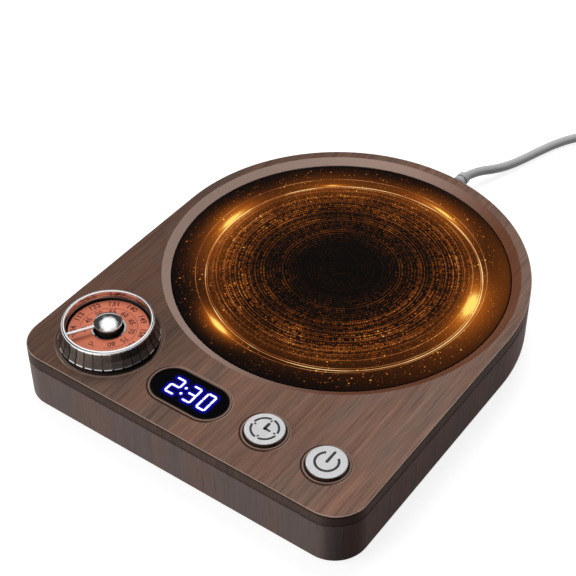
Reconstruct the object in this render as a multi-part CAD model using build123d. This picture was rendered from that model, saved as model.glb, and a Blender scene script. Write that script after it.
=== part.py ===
from build123d import *
import math
import os

# Electric mug warmer. Millimetres, +Z up, +X to the right along the front, +Y to the back.
# The origin is on the table, under the middle of the body.

# ---------------------------------------------------------------- driving dimensions
# body shells
BODY_WIDTH = 125.0        # across the straight sides; the back is a half circle this wide
CONTROL_STRIP = 31.1      # front face to the recess round the warming plate
FRONT_CORNER_R = 11.0     # plan radius of the two front corners
BODY_HEIGHT = 20.1        # underside of the housing to the cover's top face
FOOT_STAND = 1.5          # height of the housing's underside above the table
COVER_SKIRT = 4.3         # top face down to the seam
SHELL_WALL = 2.2
COVER_THICK = 2.0
FLOOR_THICK = 2.0
TOP_EDGE_R = 0.4
BOTTOM_EDGE = 0.6
SHADOW_LINE = 0.45        # height and depth of the groove along the seam
TONGUE_WALL = 1.2
TONGUE_DROP = 2.0
TONGUE_CLEARANCE = 0.15

# warming plate and the stack under it
RIM_WIDTH = 3.5           # body's back edge to the rim of the conical recess
RECESS_SLOPE = 2.9        # how far the recess closes in down to the glass
GLASS_DEPTH = 1.65        # glass top below the cover's top face
GLASS_THICK = 3.0
GLASS_EDGE = 0.3
GLASS_CLEARANCE = 0.1
LEDGE_WIDTH = 4.6         # how far the ledge reaches in under the glass
LEDGE_THICK = 1.6
DISH_WALL = 1.8
GASKET_WIDTH = 3.6
GASKET_THICK = 0.5
SPREADER_THICK = 1.5
ELEMENT_THICK = 0.4
ELEMENT_RINGS = 5
ELEMENT_MARGIN = 4.1      # spreader's edge to the track's outer edge
ELEMENT_PITCH = 7.0
ELEMENT_TRACK = 4.0
ELEMENT_GAP = 3.0
MICA_THICK = 0.5
PAD_THICK = 3.0
STACK_MARGIN = 1.5        # each layer's edge inside the one above it
BRACKET_THICK = 0.8
BRACKET_LIP = 2.6
ARM_LEAF_WIDTH = 10.0
LEAD_NOTCH_WIDTH = 11.0
LEAD_NOTCH_DEPTH = 6.0

# temperature sensing
SENSOR_R = 2.5
SENSOR_LEAD_BEND = 1.5
SENSOR_HEIGHT = 2.5
SENSOR_CLEARANCE = 0.5
HOLDER_FLANGE_R = 6.0
HOLDER_FLANGE_THICK = 1.0
FUSE_R = 1.7
FUSE_LENGTH = 11.0
FUSE_FROM_TAB = 7.0       # element's tab to the near end of the thermal fuse

# across the front: the spaces from side to side, left of the dial, between the dial, the
# display and the two buttons, and right of them; they share what the body's width leaves
ROW_SPACES = (5.8, 3.8, 5.95, 7.2, 10.05)

# dial
WELL_FROM_FRONT = 2.7
RING_LIP_R = 15.95        # flutes' lower edge
RING_LIP_LIFT = 1.5       # that edge above the top face
RING_LIP_HEIGHT = 0.45
RING_LIP_LEAN = 0.2
RING_WAIST_R = 14.9       # where the flutes' two slopes meet
RING_WAIST_DROP = 3.6     # that line below the ring's top
RING_TOP_R = 14.4
RING_FOOT_R = 14.9        # plain foot below the flutes
RING_BORE_R = 13.3
RING_LIFT = 0.4           # ring's underside above the top face
RING_RISE = 7.6           # ring's top above the top face
RING_BAND = 0.8           # plain rounded band above the flutes
RING_FLUTES = 32
FLUTE_WIDTH = 0.45
FLUTE_DEPTH = 0.35
WELL_R = 17.2
WELL_DEPTH = 0.9
WELL_SLOPE = 1.0          # how far the well's wall leans in
SEAT_FLANGE_R = 14.4
SEAT_FLANGE_THICK = 0.8
SEAT_SPIGOT_R = 8.8
SEAT_BORE_R = 6.0
SEAT_WEB = 1.5
SEAT_GAP = 0.3            # between the ring's bore and the seat's tower
SCALE_R = 12.5
SCALE_RISE = 4.4          # scale disc's top above the top face
SCALE_THICK = 0.6
SCALE_HOLE_R = 4.9
SCALE_LIP = 0.55          # width of the raised lip round the hole
SCALE_LIP_RISE = 0.12
HUB_R = 4.6
HUB_RIM_LIFT = 0.05       # hub's widest line above the pointer's top
HUB_ROUND = 0.35
HUB_CROWN = 1.4
HUB_SKIRT_R = 4.2
HUB_SKIRT_DROP = 0.85
NECK_R = 3.9
NECK_LENGTH = 4.6
STUD_R = 1.9
STUD_LENGTH = 2.0
POINTER_WIDTH = 0.9
POINTER_THICK = 0.6
POINTER_DROP = 0.7        # pointer's top below the ring's top
POINTER_KEY = 0.6         # how far the pointer's end is let into the ring
POINTER_ANGLE = 238.7     # at rest, counted from +X
SHAFT_R = 2.5
RUNNING_FIT = 0.05
SLIP_FIT = 0.03           # between pieces of one body that plug together

# buttons
BUTTON_FROM_FRONT = 16.1
BUTTON_R = 6.1
BUTTON_RISE = 1.45
BUTTON_EDGE = 0.22
BUTTON_SKIRT = 2.5        # cap's rim below the top face
BUTTON_WALL = 0.8
BUTTON_CROWN = 1.0
BUTTON_TRAVEL = 0.6
BUTTON_CLEARANCE = 0.35
BUTTON_TRIM_WIDTH = 0.9
BUTTON_TRIM_RISE = 0.25
TRIM_DEPTH = 0.8
SLEEVE_WALL = 1.3
SLEEVE_DROP = 1.5
FLANGE_THICK = 1.0
FLANGE_OVERLAP = 0.8
FLANGE_CLEARANCE = 0.15
SWITCH_SIZE = 6.2
SWITCH_HEIGHT = 3.1
ACTUATOR_R = 1.75
ACTUATOR_STAND = 0.85

# display
DISPLAY_FROM_FRONT = 15.5
DISPLAY_LENGTH = 26.6
DISPLAY_WIDTH = 13.4
DISPLAY_TRIM = 0.9
DISPLAY_TRIM_RISE = 0.2
LENS_THICK = 1.2
LENS_DROP = 0.1           # lens top below the top face
LENS_LEDGE = 1.2
MODULE_CORNER = 0.8
MODULE_CLEARANCE = 0.4
MODULE_SIDE_GAP = 1.0

# boards
BOARD_THICK = 1.6
CONTROL_BOARD_END = 12.0  # body's sides to the control board's ends
CONTROL_BOARD_WIDTH = 23.5
BOARD_FRONT_GAP = 1.1
CONTROL_BOSS_INSET = 3.0
ENCODER_SIZE = 12.0
ENCODER_HEIGHT = 4.4
BUSHING_R = 3.5
BUSHING_RISE = 4.4
NUT_ACROSS = 9.0
NUT_THICK = 2.0
POWER_BOARD_SIZE = (46.0, 38.0)
POWER_BOARD_FROM_SIDE = 35.5
POWER_BOARD_FROM_FRONT = 24.3
STANDOFF_HEIGHT = 2.0
STANDOFF_R = 2.6
# what stands on the power board is placed from the board's middle
POWER_HOLES = ((-19.5, -15.5), (19.5, -8.0), (-19.5, 15.5), (19.5, 6.0))
TERMINAL_SIZE = (20.0, 7.0, 7.0)
TERMINAL_X = 11.5
TRIAC_SIZE = (10.0, 13.0, 4.4)
TRIAC_AT = (-11.0, 11.0)
FILM_CAP_SIZE = (17.0, 6.0, 8.0)
FILM_CAP_AT = (5.5, 7.2)
CAN_R = 2.5
CAN_HEIGHT = 7.0
CAN_AT = (-2.5, 14.5)
FUSE_BODY_R = 1.8
FUSE_BODY_LENGTH = 9.0
FUSE_BODY_AT = (-13.0, -12.0)
CAN_GROOVE = (0.6, 0.3)   # height and depth
FUSE_CAP = (2.0, 0.2)     # length, and how far it stands over the glass
FILM_CAP_EDGE = 0.5
HEADER_SIZE = (12.7, 2.5)
HEADER_AT = (0.0, -10.0)

# fasteners, feet and vents
POST_HEIGHT = 4.5         # housing's posts above its floor, up to the cover's bosses
POST_R = 3.6
BOSS_R = 3.0
FRONT_POST_INSET = 8.0    # front posts in from the side and the front
REAR_POST_ANGLE = 62.0
HOUSING_SCREW_R = 1.25
HOUSING_SCREW_LENGTH = 8.0
HOUSING_HEAD_R = 2.4
HOUSING_HEAD = 1.8
COUNTERBORE = 3.0
SMALL_SCREW_R = 1.0
SMALL_HEAD_R = 2.0
SMALL_HEAD = 1.4
SMALL_SCREW_LENGTH = 4.0
HOLE_CLEARANCE = 0.25
FOOT_R = 5.0
FOOT_SINK = 0.5
FRONT_FOOT = (44.0, 14.3)  # sideways from the middle, back from the front
REAR_FOOT_INSET = 14.5    # rear feet in from the round back
REAR_FOOT_ANGLE = 50.0
VENT_COUNT = 7
VENT_PITCH = 6.0
VENT_WIDTH = 2.0
VENT_LENGTH = 26.0

# cord
CORD_R = 1.7
CORD_RISE = 2.7           # cord's middle above the housing's floor
RELIEF_LENGTH = 20.0
RELIEF_ROOT_R = 3.3
RELIEF_TIP_R = 2.3
RELIEF_FLANGE_R = 4.0
RELIEF_FLANGE = 1.4
RELIEF_RINGS = 6
RELIEF_NECK_R = 2.6
RELIEF_SINK = 0.2
INNER_PAD = 1.6
INNER_CORD_LENGTH = 18.0
LEAD_R = 0.7
LEAD_END_GAP = 0.2
LEAD_BEND = 2.0
LEAD_STEP = 2.5           # sideways, between an element's tab and its lead's run
LEAD_PITCH = 4.0
MAINS_LEAD_DROP = 12.0    # run in which the mains leads come down to the floor
MAINS_LEAD_CLIMB = 16.0   # run in which they rise to the terminal block
CLAMP_SIZE = (17.0, 5.0, 2.8)
CLAMP_BACK = 5.0          # clamp in from the strain relief's inner flange
CLAMP_SCREW_X = 6.0
COIL_CENTRE = (64.0, 128.0)
COIL_MEAN_R = 20.0
COIL_LAYERS = 3
COIL_BEDDING = 0.2        # how far the cord's ends bed into the coil's outer shape
RELIEF_BEDDING = 0.5      # how far the cord starts inside the gland, before it is trimmed
TIE_THICK = 0.6
TIE_HALF_ANGLE = 7.0
TIE_ANGLE = 200.0
PLUG_SIZE = (22.0, 26.0, 14.4)
PLUG_EDGE = 3.0
PLUG_RELIEF_LENGTH = 11.0
BLADE_SIZE = (1.5, 17.5, 6.35)
BLADE_SPACING = 12.7
TAIL_LENGTH = 20.5

# the free cord's route from the strain relief to the coil, chosen by hand
CORD_ROUTE = [
    (1.3, 103.0, 5.2), (4.8, 109.9, 3.3), (7.9, 117.1, 2.2), (10.6, 125.4, 1.85), (13.2, 133.8, 1.75),
    (16.5, 142.2, 1.75), (21.3, 150.1, 1.75), (28.0, 156.8, 1.75), (36.6, 161.4, 1.8),
    (46.2, 162.3, 1.9), (55.3, 159.8, 2.05), (63.3, 156.1, 2.2), (70.4, 152.0, 2.4),
]
COIL_ENTRY_ANGLE = 56.0

# ---------------------------------------------------------------- derived places
BACK_R = BODY_WIDTH / 2
RECESS_R = BACK_R - RIM_WIDTH
GLASS_R = RECESS_R - RECESS_SLOPE
PLATE_FROM_FRONT = CONTROL_STRIP + RECESS_R
BODY_DEPTH = PLATE_FROM_FRONT + BACK_R
FRONT_Y = -BODY_DEPTH / 2
BACK_Y = BODY_DEPTH / 2
PLATE_Y = FRONT_Y + PLATE_FROM_FRONT
PLATE = (0.0, PLATE_Y)
Z_BOTTOM = FOOT_STAND
Z_FLOOR = Z_BOTTOM + FLOOR_THICK
Z_TOP = Z_BOTTOM + BODY_HEIGHT
Z_SEAM = Z_TOP - COVER_SKIRT
Z_UNDER_COVER = Z_TOP - COVER_THICK
Z_POST = Z_FLOOR + POST_HEIGHT

Z_GLASS_TOP = Z_TOP - GLASS_DEPTH
Z_GLASS = Z_GLASS_TOP - GLASS_THICK
Z_LEDGE_TOP = Z_GLASS - GASKET_THICK
Z_LEDGE = Z_LEDGE_TOP - LEDGE_THICK
Z_SPREADER = Z_GLASS - SPREADER_THICK
Z_ELEMENT = Z_SPREADER - ELEMENT_THICK
Z_MICA = Z_ELEMENT - MICA_THICK
Z_PAD = Z_MICA - PAD_THICK
Z_BRACKET = Z_PAD - BRACKET_THICK
POCKET_R = GLASS_R + GLASS_CLEARANCE
LEDGE_R = POCKET_R - LEDGE_WIDTH
DISH_R = POCKET_R + DISH_WALL
SPREADER_R = LEDGE_R - STACK_MARGIN
ELEMENT_OUTER_R = SPREADER_R - ELEMENT_MARGIN - ELEMENT_TRACK / 2
MICA_R = SPREADER_R - STACK_MARGIN
PAD_R = MICA_R - STACK_MARGIN
LIP_INNER_R = PAD_R + HOLE_CLEARANCE
BRACKET_R = LIP_INNER_R + BRACKET_THICK
BRACKET_SCREW_R = (LEDGE_R + DISH_R) / 2
BRACKET_ANGLES = (30, 150, 270)
SENSOR_HOLE_R = SENSOR_R + SENSOR_CLEARANCE

BUTTON_HOLE_R = BUTTON_R + BUTTON_CLEARANCE
BUTTON_TRIM_R = BUTTON_HOLE_R + BUTTON_TRIM_WIDTH
ROW_WIDTHS = (2 * WELL_R, DISPLAY_LENGTH + 2 * DISPLAY_TRIM, 2 * BUTTON_TRIM_R, 2 * BUTTON_TRIM_R)


def row_place(index):
    """Middle, across the front, of the dial, the display, the timer button or the power button."""
    share = (BODY_WIDTH - sum(ROW_WIDTHS)) / sum(ROW_SPACES)
    return sum(ROW_WIDTHS[:index]) + ROW_WIDTHS[index] / 2 + share * sum(ROW_SPACES[:index + 1]) - BACK_R


DIAL = (row_place(0), FRONT_Y + WELL_FROM_FRONT + WELL_R)
Z_WELL = Z_TOP - WELL_DEPTH
Z_SEAT_FLANGE = Z_WELL + SEAT_FLANGE_THICK
TOWER_R = RING_BORE_R - SEAT_GAP
Z_SCALE_TOP = Z_TOP + SCALE_RISE
Z_SCALE = Z_SCALE_TOP - SCALE_THICK
Z_RING_TOP = Z_TOP + RING_RISE
Z_POINTER_TOP = Z_RING_TOP - POINTER_DROP
Z_POINTER = Z_POINTER_TOP - POINTER_THICK
Z_NECK = Z_POINTER - NECK_LENGTH

BUTTONS = {name: (row_place(index), FRONT_Y + BUTTON_FROM_FRONT)
           for name, index in (("timer", 2), ("power", 3))}
Z_SLEEVE = Z_UNDER_COVER - SLEEVE_DROP
Z_STEM_FLANGE = Z_SLEEVE - FLANGE_CLEARANCE
Z_ACTUATOR_TOP = Z_STEM_FLANGE - FLANGE_THICK
Z_SWITCH_TOP = Z_ACTUATOR_TOP - ACTUATOR_STAND
Z_CONTROL_TOP = Z_SWITCH_TOP - SWITCH_HEIGHT
Z_CONTROL = Z_CONTROL_TOP - BOARD_THICK
Z_ENCODER_TOP = Z_CONTROL_TOP + ENCODER_HEIGHT
Z_BUSHING_TOP = Z_ENCODER_TOP + BUSHING_RISE
SHAFT_END_GAP = 1.0

DISPLAY = (row_place(1), FRONT_Y + DISPLAY_FROM_FRONT)
Z_LENS_TOP = Z_TOP - LENS_DROP
Z_LENS = Z_LENS_TOP - LENS_THICK
Z_MODULE_TOP = Z_LENS - MODULE_CLEARANCE
WINDOW_LENGTH = DISPLAY_LENGTH - 2 * LENS_LEDGE
WINDOW_WIDTH = DISPLAY_WIDTH - 2 * LENS_LEDGE
MODULE_LENGTH = WINDOW_LENGTH - DISPLAY_WIDTH / 2
MODULE_WIDTH = WINDOW_WIDTH - 2 * MODULE_SIDE_GAP

CONTROL_FRONT = FRONT_Y + SHELL_WALL + BOARD_FRONT_GAP
CONTROL_BACK = CONTROL_FRONT + CONTROL_BOARD_WIDTH
CONTROL_BOSS_XS = ((DIAL[0] + DISPLAY[0]) / 2, (BUTTONS["timer"][0] + BUTTONS["power"][0]) / 2)
CONTROL_BOSSES = [(x, y) for x in CONTROL_BOSS_XS
                  for y in (CONTROL_FRONT + CONTROL_BOSS_INSET, CONTROL_BACK - CONTROL_BOSS_INSET)]
Z_POWER = Z_FLOOR + STANDOFF_HEIGHT
Z_POWER_TOP = Z_POWER + BOARD_THICK
POWER_BOARD = (BACK_R - POWER_BOARD_FROM_SIDE, FRONT_Y + POWER_BOARD_FROM_FRONT)
POWER_BOARD_BACK = POWER_BOARD[1] + POWER_BOARD_SIZE[1] / 2


def on_power_board(spot):
    """Point given from the power board's middle, in the part's frame."""
    return (POWER_BOARD[0] + spot[0], POWER_BOARD[1] + spot[1])


TERMINAL = on_power_board((TERMINAL_X, (POWER_BOARD_SIZE[1] - TERMINAL_SIZE[1]) / 2))
STANDOFFS = [on_power_board(spot) for spot in POWER_HOLES]


def polar(centre, radius, angle):
    """Point at a radius and an angle in degrees round a centre."""
    turn = math.radians(angle)
    return (centre[0] + radius * math.cos(turn), centre[1] + radius * math.sin(turn))


FRONT_POSTS = [(side * (BACK_R - FRONT_POST_INSET), FRONT_Y + FRONT_POST_INSET) for side in (-1, 1)]
REAR_POSTS = [polar(PLATE, BRACKET_SCREW_R, angle) for angle in (REAR_POST_ANGLE, 180 - REAR_POST_ANGLE)]
POSTS = FRONT_POSTS + REAR_POSTS
FRONT_FEET = [(side * FRONT_FOOT[0], FRONT_Y + FRONT_FOOT[1]) for side in (-1, 1)]
REAR_FEET = [polar(PLATE, BACK_R - REAR_FOOT_INSET, angle) for angle in (REAR_FOOT_ANGLE, 180 - REAR_FOOT_ANGLE)]
FEET = FRONT_FEET + REAR_FEET

CORD_EXIT_Z = Z_FLOOR + CORD_RISE
RELIEF_FACE_Y = BACK_Y - RELIEF_SINK
INNER_PAD_Y = PLATE_Y + BACK_R - SHELL_WALL - INNER_PAD
RELIEF_INNER_Y = INNER_PAD_Y - RELIEF_FLANGE
RELIEF_TIP_Y = RELIEF_FACE_Y + RELIEF_LENGTH
CLAMP_Y = RELIEF_INNER_Y - CLAMP_BACK
INNER_CORD_END_Y = RELIEF_INNER_Y - INNER_CORD_LENGTH
COIL_HALF = COIL_LAYERS * CORD_R
COIL_OUTER_TURN_R = COIL_MEAN_R + COIL_HALF - CORD_R - COIL_BEDDING
Z_COIL = TIE_THICK
Z_COIL_FIRST_TURN = Z_COIL + CORD_R + COIL_BEDDING
Z_COIL_TOP_TURN = Z_COIL + 2 * COIL_HALF - CORD_R - COIL_BEDDING
TAIL_START = polar(COIL_CENTRE, COIL_OUTER_TURN_R, 0)
PLUG_TIP_Y = TAIL_START[1] - TAIL_LENGTH
PLUG_Z = PLUG_SIZE[2] / 2


# ---------------------------------------------------------------- shape helpers
UP = (Align.CENTER, Align.CENTER, Align.MIN)


def disc(radius, z0, z1, at=(0.0, 0.0)):
    """Upright cylinder between two heights."""
    return Pos(at[0], at[1], z0) * Cylinder(radius, z1 - z0, align=UP)


def taper(r0, r1, z0, z1, at=(0.0, 0.0)):
    """Upright cone between two heights."""
    return Pos(at[0], at[1], z0) * Cone(r0, r1, z1 - z0, align=UP)


def block(size_x, size_y, z0, z1, at=(0.0, 0.0)):
    """Upright box between two heights, centred in plan."""
    return Pos(at[0], at[1], z0) * Box(size_x, size_y, z1 - z0, align=UP)


def raise_face(face, z0, z1):
    """Plan face pulled up between two heights."""
    return Pos(0, 0, z0) * extrude(face, z1 - z0)


def group(solids):
    """Separate solids kept together as one sub-part."""
    return Compound(children=list(solids))


def body_plan(inset=0.0):
    """Plan of the body: straight front and sides, round corners and a half-round back."""
    half = BACK_R - inset
    front = FRONT_Y + inset
    corner = FRONT_CORNER_R - inset
    lean = corner * (1 - math.sqrt(0.5))
    with BuildSketch() as sketch:
        with BuildLine():
            Line((-half, PLATE_Y), (-half, front + corner))
            ThreePointArc((-half, front + corner), (-half + lean, front + lean), (-half + corner, front))
            Line((-half + corner, front), (half - corner, front))
            ThreePointArc((half - corner, front), (half - lean, front + lean), (half, front + corner))
            Line((half, front + corner), (half, PLATE_Y))
            ThreePointArc((half, PLATE_Y), (0, PLATE_Y + half), (-half, PLATE_Y))
        make_face()
    return sketch.sketch


def pill(grow=0.0):
    """Plan of the display window, grown by a margin."""
    slot = SlotOverall(DISPLAY_LENGTH + 2 * grow, DISPLAY_WIDTH + 2 * grow)
    return Pos(*DISPLAY) * slot


def tube(points, radii, radius):
    """Round tube along straight runs joined by tangent arcs."""
    path = FilletPolyline(*points, radius=radii) if radii else Line(points[0], points[1])
    start = Plane(origin=path @ 0, z_dir=path % 0)
    return sweep(start * Circle(radius), path=path), path.length


def bend_radii(points, share=0.45):
    """Largest arc for each corner of a route, from its shorter run and its turn."""
    radii = []
    for a, b, c in zip(points, points[1:], points[2:]):
        run_in = Vector(*b) - Vector(*a)
        run_out = Vector(*c) - Vector(*b)
        half_turn = math.radians(run_in.get_angle(run_out)) / 2
        radii.append(share * min(run_in.length, run_out.length) / math.tan(half_turn))
    return radii


def screw(at, seat_z, head_r, head, shank_r, length, up=1):
    """Pan-head screw whose head bears on seat_z and whose shank points up or down."""
    z_head = seat_z - head if up > 0 else seat_z
    z_shank = seat_z if up > 0 else seat_z - length
    body = disc(head_r, z_head, z_head + head, at) + disc(shank_r, z_shank, z_shank + length, at)
    open_face = body.faces().sort_by(Axis.Z)[0 if up > 0 else -1]
    cross = [Box(head_r * 1.2, head_r * 0.3, head * 0.9), Box(head_r * 0.3, head_r * 1.2, head * 0.9)]
    return body - [Pos(at[0], at[1], open_face.center().Z) * bar for bar in cross]


# ---------------------------------------------------------------- body shells
def top_cover():
    """Upper shell with the plate's dish, the dial's well, cut-outs, sleeves and bosses."""
    shell = raise_face(body_plan(), Z_SEAM, Z_TOP)
    rim = shell.faces().sort_by(Axis.Z)[-1].outer_wire().edges()
    shell = fillet(rim, TOP_EDGE_R)
    shell -= raise_face(body_plan(SHELL_WALL), Z_SEAM, Z_UNDER_COVER)
    outer = SHELL_WALL + TONGUE_CLEARANCE
    tongue = body_plan(outer) - body_plan(outer + TONGUE_WALL)
    shell += raise_face(tongue, Z_SEAM - TONGUE_DROP, Z_UNDER_COVER)
    shell += raise_face(body_plan(SHELL_WALL) - body_plan(outer), Z_SEAM, Z_UNDER_COVER)
    shell += disc(DISH_R, Z_LEDGE, Z_UNDER_COVER, PLATE)
    shell += disc(WELL_R + COVER_THICK, Z_WELL - COVER_THICK, Z_UNDER_COVER, DIAL)
    for at in BUTTONS.values():
        shell += disc(BUTTON_HOLE_R + SLEEVE_WALL, Z_SLEEVE, Z_UNDER_COVER, at)
    for at in CONTROL_BOSSES:
        shell += disc(STANDOFF_R, Z_CONTROL_TOP, Z_UNDER_COVER, at)
    for at in FRONT_POSTS:
        shell += disc(BOSS_R, Z_POST, Z_UNDER_COVER, at)
    for at in REAR_POSTS:
        shell += disc(BOSS_R, Z_POST, Z_LEDGE, at)
    for angle in BRACKET_ANGLES:
        shell += disc(STANDOFF_R, Z_PAD, Z_LEDGE, polar(PLATE, BRACKET_SCREW_R, angle))
    return cut_cover_openings(shell)


def cut_cover_openings(shell):
    """Dish, well, window, button holes and screw pilots, taken out of the cover."""
    shell -= taper(POCKET_R, RECESS_R, Z_GLASS_TOP, Z_TOP, PLATE)
    shell -= disc(POCKET_R, Z_LEDGE_TOP, Z_GLASS_TOP, PLATE)
    shell -= disc(LEDGE_R, Z_LEDGE, Z_LEDGE_TOP, PLATE)
    shell -= taper(WELL_R - WELL_SLOPE, WELL_R, Z_WELL, Z_TOP, DIAL)
    shell -= disc(SEAT_SPIGOT_R + GLASS_CLEARANCE, Z_WELL - COVER_THICK, Z_WELL, DIAL)
    shell -= raise_face(pill(DISPLAY_TRIM), Z_LENS, Z_TOP)
    shell -= raise_face(pill(-LENS_LEDGE), Z_UNDER_COVER, Z_LENS)
    for at in BUTTONS.values():
        shell -= disc(BUTTON_HOLE_R, Z_SLEEVE, Z_TOP, at)
        shell -= disc(BUTTON_TRIM_R, Z_TOP - TRIM_DEPTH, Z_TOP, at)
    small_pilot = SMALL_SCREW_R + SLIP_FIT
    for at in CONTROL_BOSSES:
        shell -= disc(small_pilot, Z_CONTROL_TOP, Z_CONTROL_TOP + SMALL_SCREW_LENGTH, at)
    for angle in BRACKET_ANGLES:
        at = polar(PLATE, BRACKET_SCREW_R, angle)
        shell -= disc(small_pilot, Z_PAD, Z_PAD + SMALL_SCREW_LENGTH, at)
    for at in POSTS:
        depth = HOUSING_SCREW_LENGTH
        shell -= disc(HOUSING_SCREW_R + SLIP_FIT, Z_POST, Z_BOTTOM + COUNTERBORE + depth, at)
    return shell


def lower_housing():
    """Lower shell with a seam groove, posts, standoffs, cord clamp saddle and vents."""
    shell = raise_face(body_plan(), Z_BOTTOM, Z_SEAM)
    shell = chamfer(shell.faces().sort_by(Axis.Z)[0].outer_wire().edges(), BOTTOM_EDGE)
    shell -= raise_face(body_plan(SHELL_WALL), Z_FLOOR, Z_SEAM)
    groove = body_plan() - body_plan(SHADOW_LINE)
    shell -= raise_face(groove, Z_SEAM - SHADOW_LINE, Z_SEAM)
    for at in POSTS:
        shell += disc(POST_R, Z_FLOOR, Z_POST, at)
    for at in STANDOFFS:
        shell += disc(STANDOFF_R, Z_FLOOR, Z_POWER, at)
    shell += block(CLAMP_SIZE[0], CLAMP_SIZE[1], Z_FLOOR, CORD_EXIT_Z, (0, CLAMP_Y))
    pad_depth = BACK_Y - SHELL_WALL / 2 - INNER_PAD_Y
    pad_width = 2 * RELIEF_FLANGE_R + 2 * SHELL_WALL
    pad_at = (0, INNER_PAD_Y + pad_depth / 2)
    shell += block(pad_width, pad_depth, Z_FLOOR, CORD_EXIT_Z + RELIEF_FLANGE_R, pad_at)
    return cut_housing_openings(shell)


def along_y(radius, y0, y1, z, x=0.0):
    """Cylinder lying along Y."""
    lying = Rot(-90, 0, 0) * Cylinder(radius, y1 - y0, align=UP)
    return Pos(x, y0, z) * lying


def cut_housing_openings(shell):
    """Screw holes, foot recesses, vents and the cord's way out, taken out of the housing."""
    for at in POSTS:
        shell -= disc(HOUSING_HEAD_R + HOLE_CLEARANCE, Z_BOTTOM, Z_BOTTOM + COUNTERBORE, at)
        shell -= disc(HOUSING_SCREW_R + HOLE_CLEARANCE, Z_BOTTOM + COUNTERBORE, Z_POST, at)
    for at in STANDOFFS:
        shell -= disc(SMALL_SCREW_R + SLIP_FIT, Z_POWER_TOP - SMALL_SCREW_LENGTH, Z_POWER, at)
    for at in FEET:
        shell -= disc(FOOT_R + SLIP_FIT, Z_BOTTOM, Z_BOTTOM + FOOT_SINK, at)
    vents = GridLocations(VENT_PITCH, 1, VENT_COUNT, 1).locations
    slot = Rot(0, 0, 90) * SlotOverall(VENT_LENGTH, VENT_WIDTH)
    shell -= [raise_face(Pos(*PLATE) * spot * slot, Z_BOTTOM, Z_FLOOR) for spot in vents]
    shell -= along_y(CORD_R, CLAMP_Y - CLAMP_SIZE[1], CLAMP_Y + CLAMP_SIZE[1], CORD_EXIT_Z)
    for side in (-1, 1):
        pilot_at = (side * CLAMP_SCREW_X, CLAMP_Y)
        shell -= disc(SMALL_SCREW_R + SLIP_FIT, Z_FLOOR, CORD_EXIT_Z, pilot_at)
    shell -= along_y(RELIEF_NECK_R + SLIP_FIT, INNER_PAD_Y, BACK_Y, CORD_EXIT_Z)
    shell -= along_y(RELIEF_FLANGE_R + HOLE_CLEARANCE, RELIEF_FACE_Y, BACK_Y, CORD_EXIT_Z)
    return shell


def rubber_feet():
    """Four feet, let into the housing's floor."""
    feet = [disc(FOOT_R, 0, Z_BOTTOM + FOOT_SINK, at) for at in FEET]
    return group(chamfer(foot.faces().sort_by(Axis.Z)[0].edges(), FOOT_SINK) for foot in feet)


def housing_screws():
    """Four screws that hold the housing to the cover, from below."""
    seat = Z_BOTTOM + COUNTERBORE
    return group(screw(at, seat, HOUSING_HEAD_R, HOUSING_HEAD, HOUSING_SCREW_R, HOUSING_SCREW_LENGTH)
                 for at in POSTS)


# ---------------------------------------------------------------- heater stack
def heater_glass():
    """Round glass plate with an arrised top edge."""
    plate = disc(GLASS_R, Z_GLASS, Z_GLASS_TOP, PLATE)
    return chamfer(plate.faces().sort_by(Axis.Z)[-1].edges(), GLASS_EDGE)


def glass_gasket():
    """Flat silicone ring between the ledge and the glass."""
    outer = POCKET_R - GLASS_CLEARANCE
    ring = disc(outer, Z_LEDGE_TOP, Z_GLASS, PLATE)
    return ring - disc(outer - GASKET_WIDTH, Z_LEDGE_TOP, Z_GLASS, PLATE)


def heat_spreader():
    """Aluminium disc bonded under the glass."""
    return disc(SPREADER_R, Z_SPREADER, Z_GLASS, PLATE)


def heating_element():
    """Etched foil track: half rings folded back and forth, with both ends at the right."""
    radii = [ELEMENT_OUTER_R - i * ELEMENT_PITCH for i in range(ELEMENT_RINGS)][::-1]
    half_track = ELEMENT_TRACK / 2
    track = Sketch()
    for i, radius in enumerate(radii):
        ring = Circle(radius + half_track) - Circle(radius - half_track)
        slot_x = [radius] if i == 0 else [radius, -radius]
        ring -= [Pos(x, 0) * Rectangle(2 * ELEMENT_TRACK, ELEMENT_GAP) for x in slot_x]
        track += ring
    for i in range(ELEMENT_RINGS - 1):
        side = 1 if i % 2 == 0 else -1
        middle = side * (radii[i] + ELEMENT_PITCH / 2)
        for row in (-1, 1):
            y = row * (ELEMENT_GAP + ELEMENT_TRACK) / 2
            track += Pos(middle, y) * Rectangle(ELEMENT_PITCH, ELEMENT_TRACK)
    return raise_face(Pos(*PLATE) * track, Z_ELEMENT, Z_SPREADER)


def stack_cuts(z0, z1, radius):
    """Middle hole and lead notch that every layer under the element has."""
    hole = disc(SENSOR_HOLE_R, z0, z1, PLATE)
    notch_x = radius + LEAD_NOTCH_DEPTH
    notch = block(4 * LEAD_NOTCH_DEPTH, LEAD_NOTCH_WIDTH, z0, z1, (notch_x, PLATE_Y))
    return [hole, notch]


def mica_sheet():
    """Insulating sheet under the foil track."""
    return disc(MICA_R, Z_MICA, Z_ELEMENT, PLATE) - stack_cuts(Z_MICA, Z_ELEMENT, MICA_R)


def insulation_pad():
    """Ceramic-fibre pad that keeps the heat up."""
    return disc(PAD_R, Z_PAD, Z_MICA, PLATE) - stack_cuts(Z_PAD, Z_MICA, MICA_R)


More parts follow.
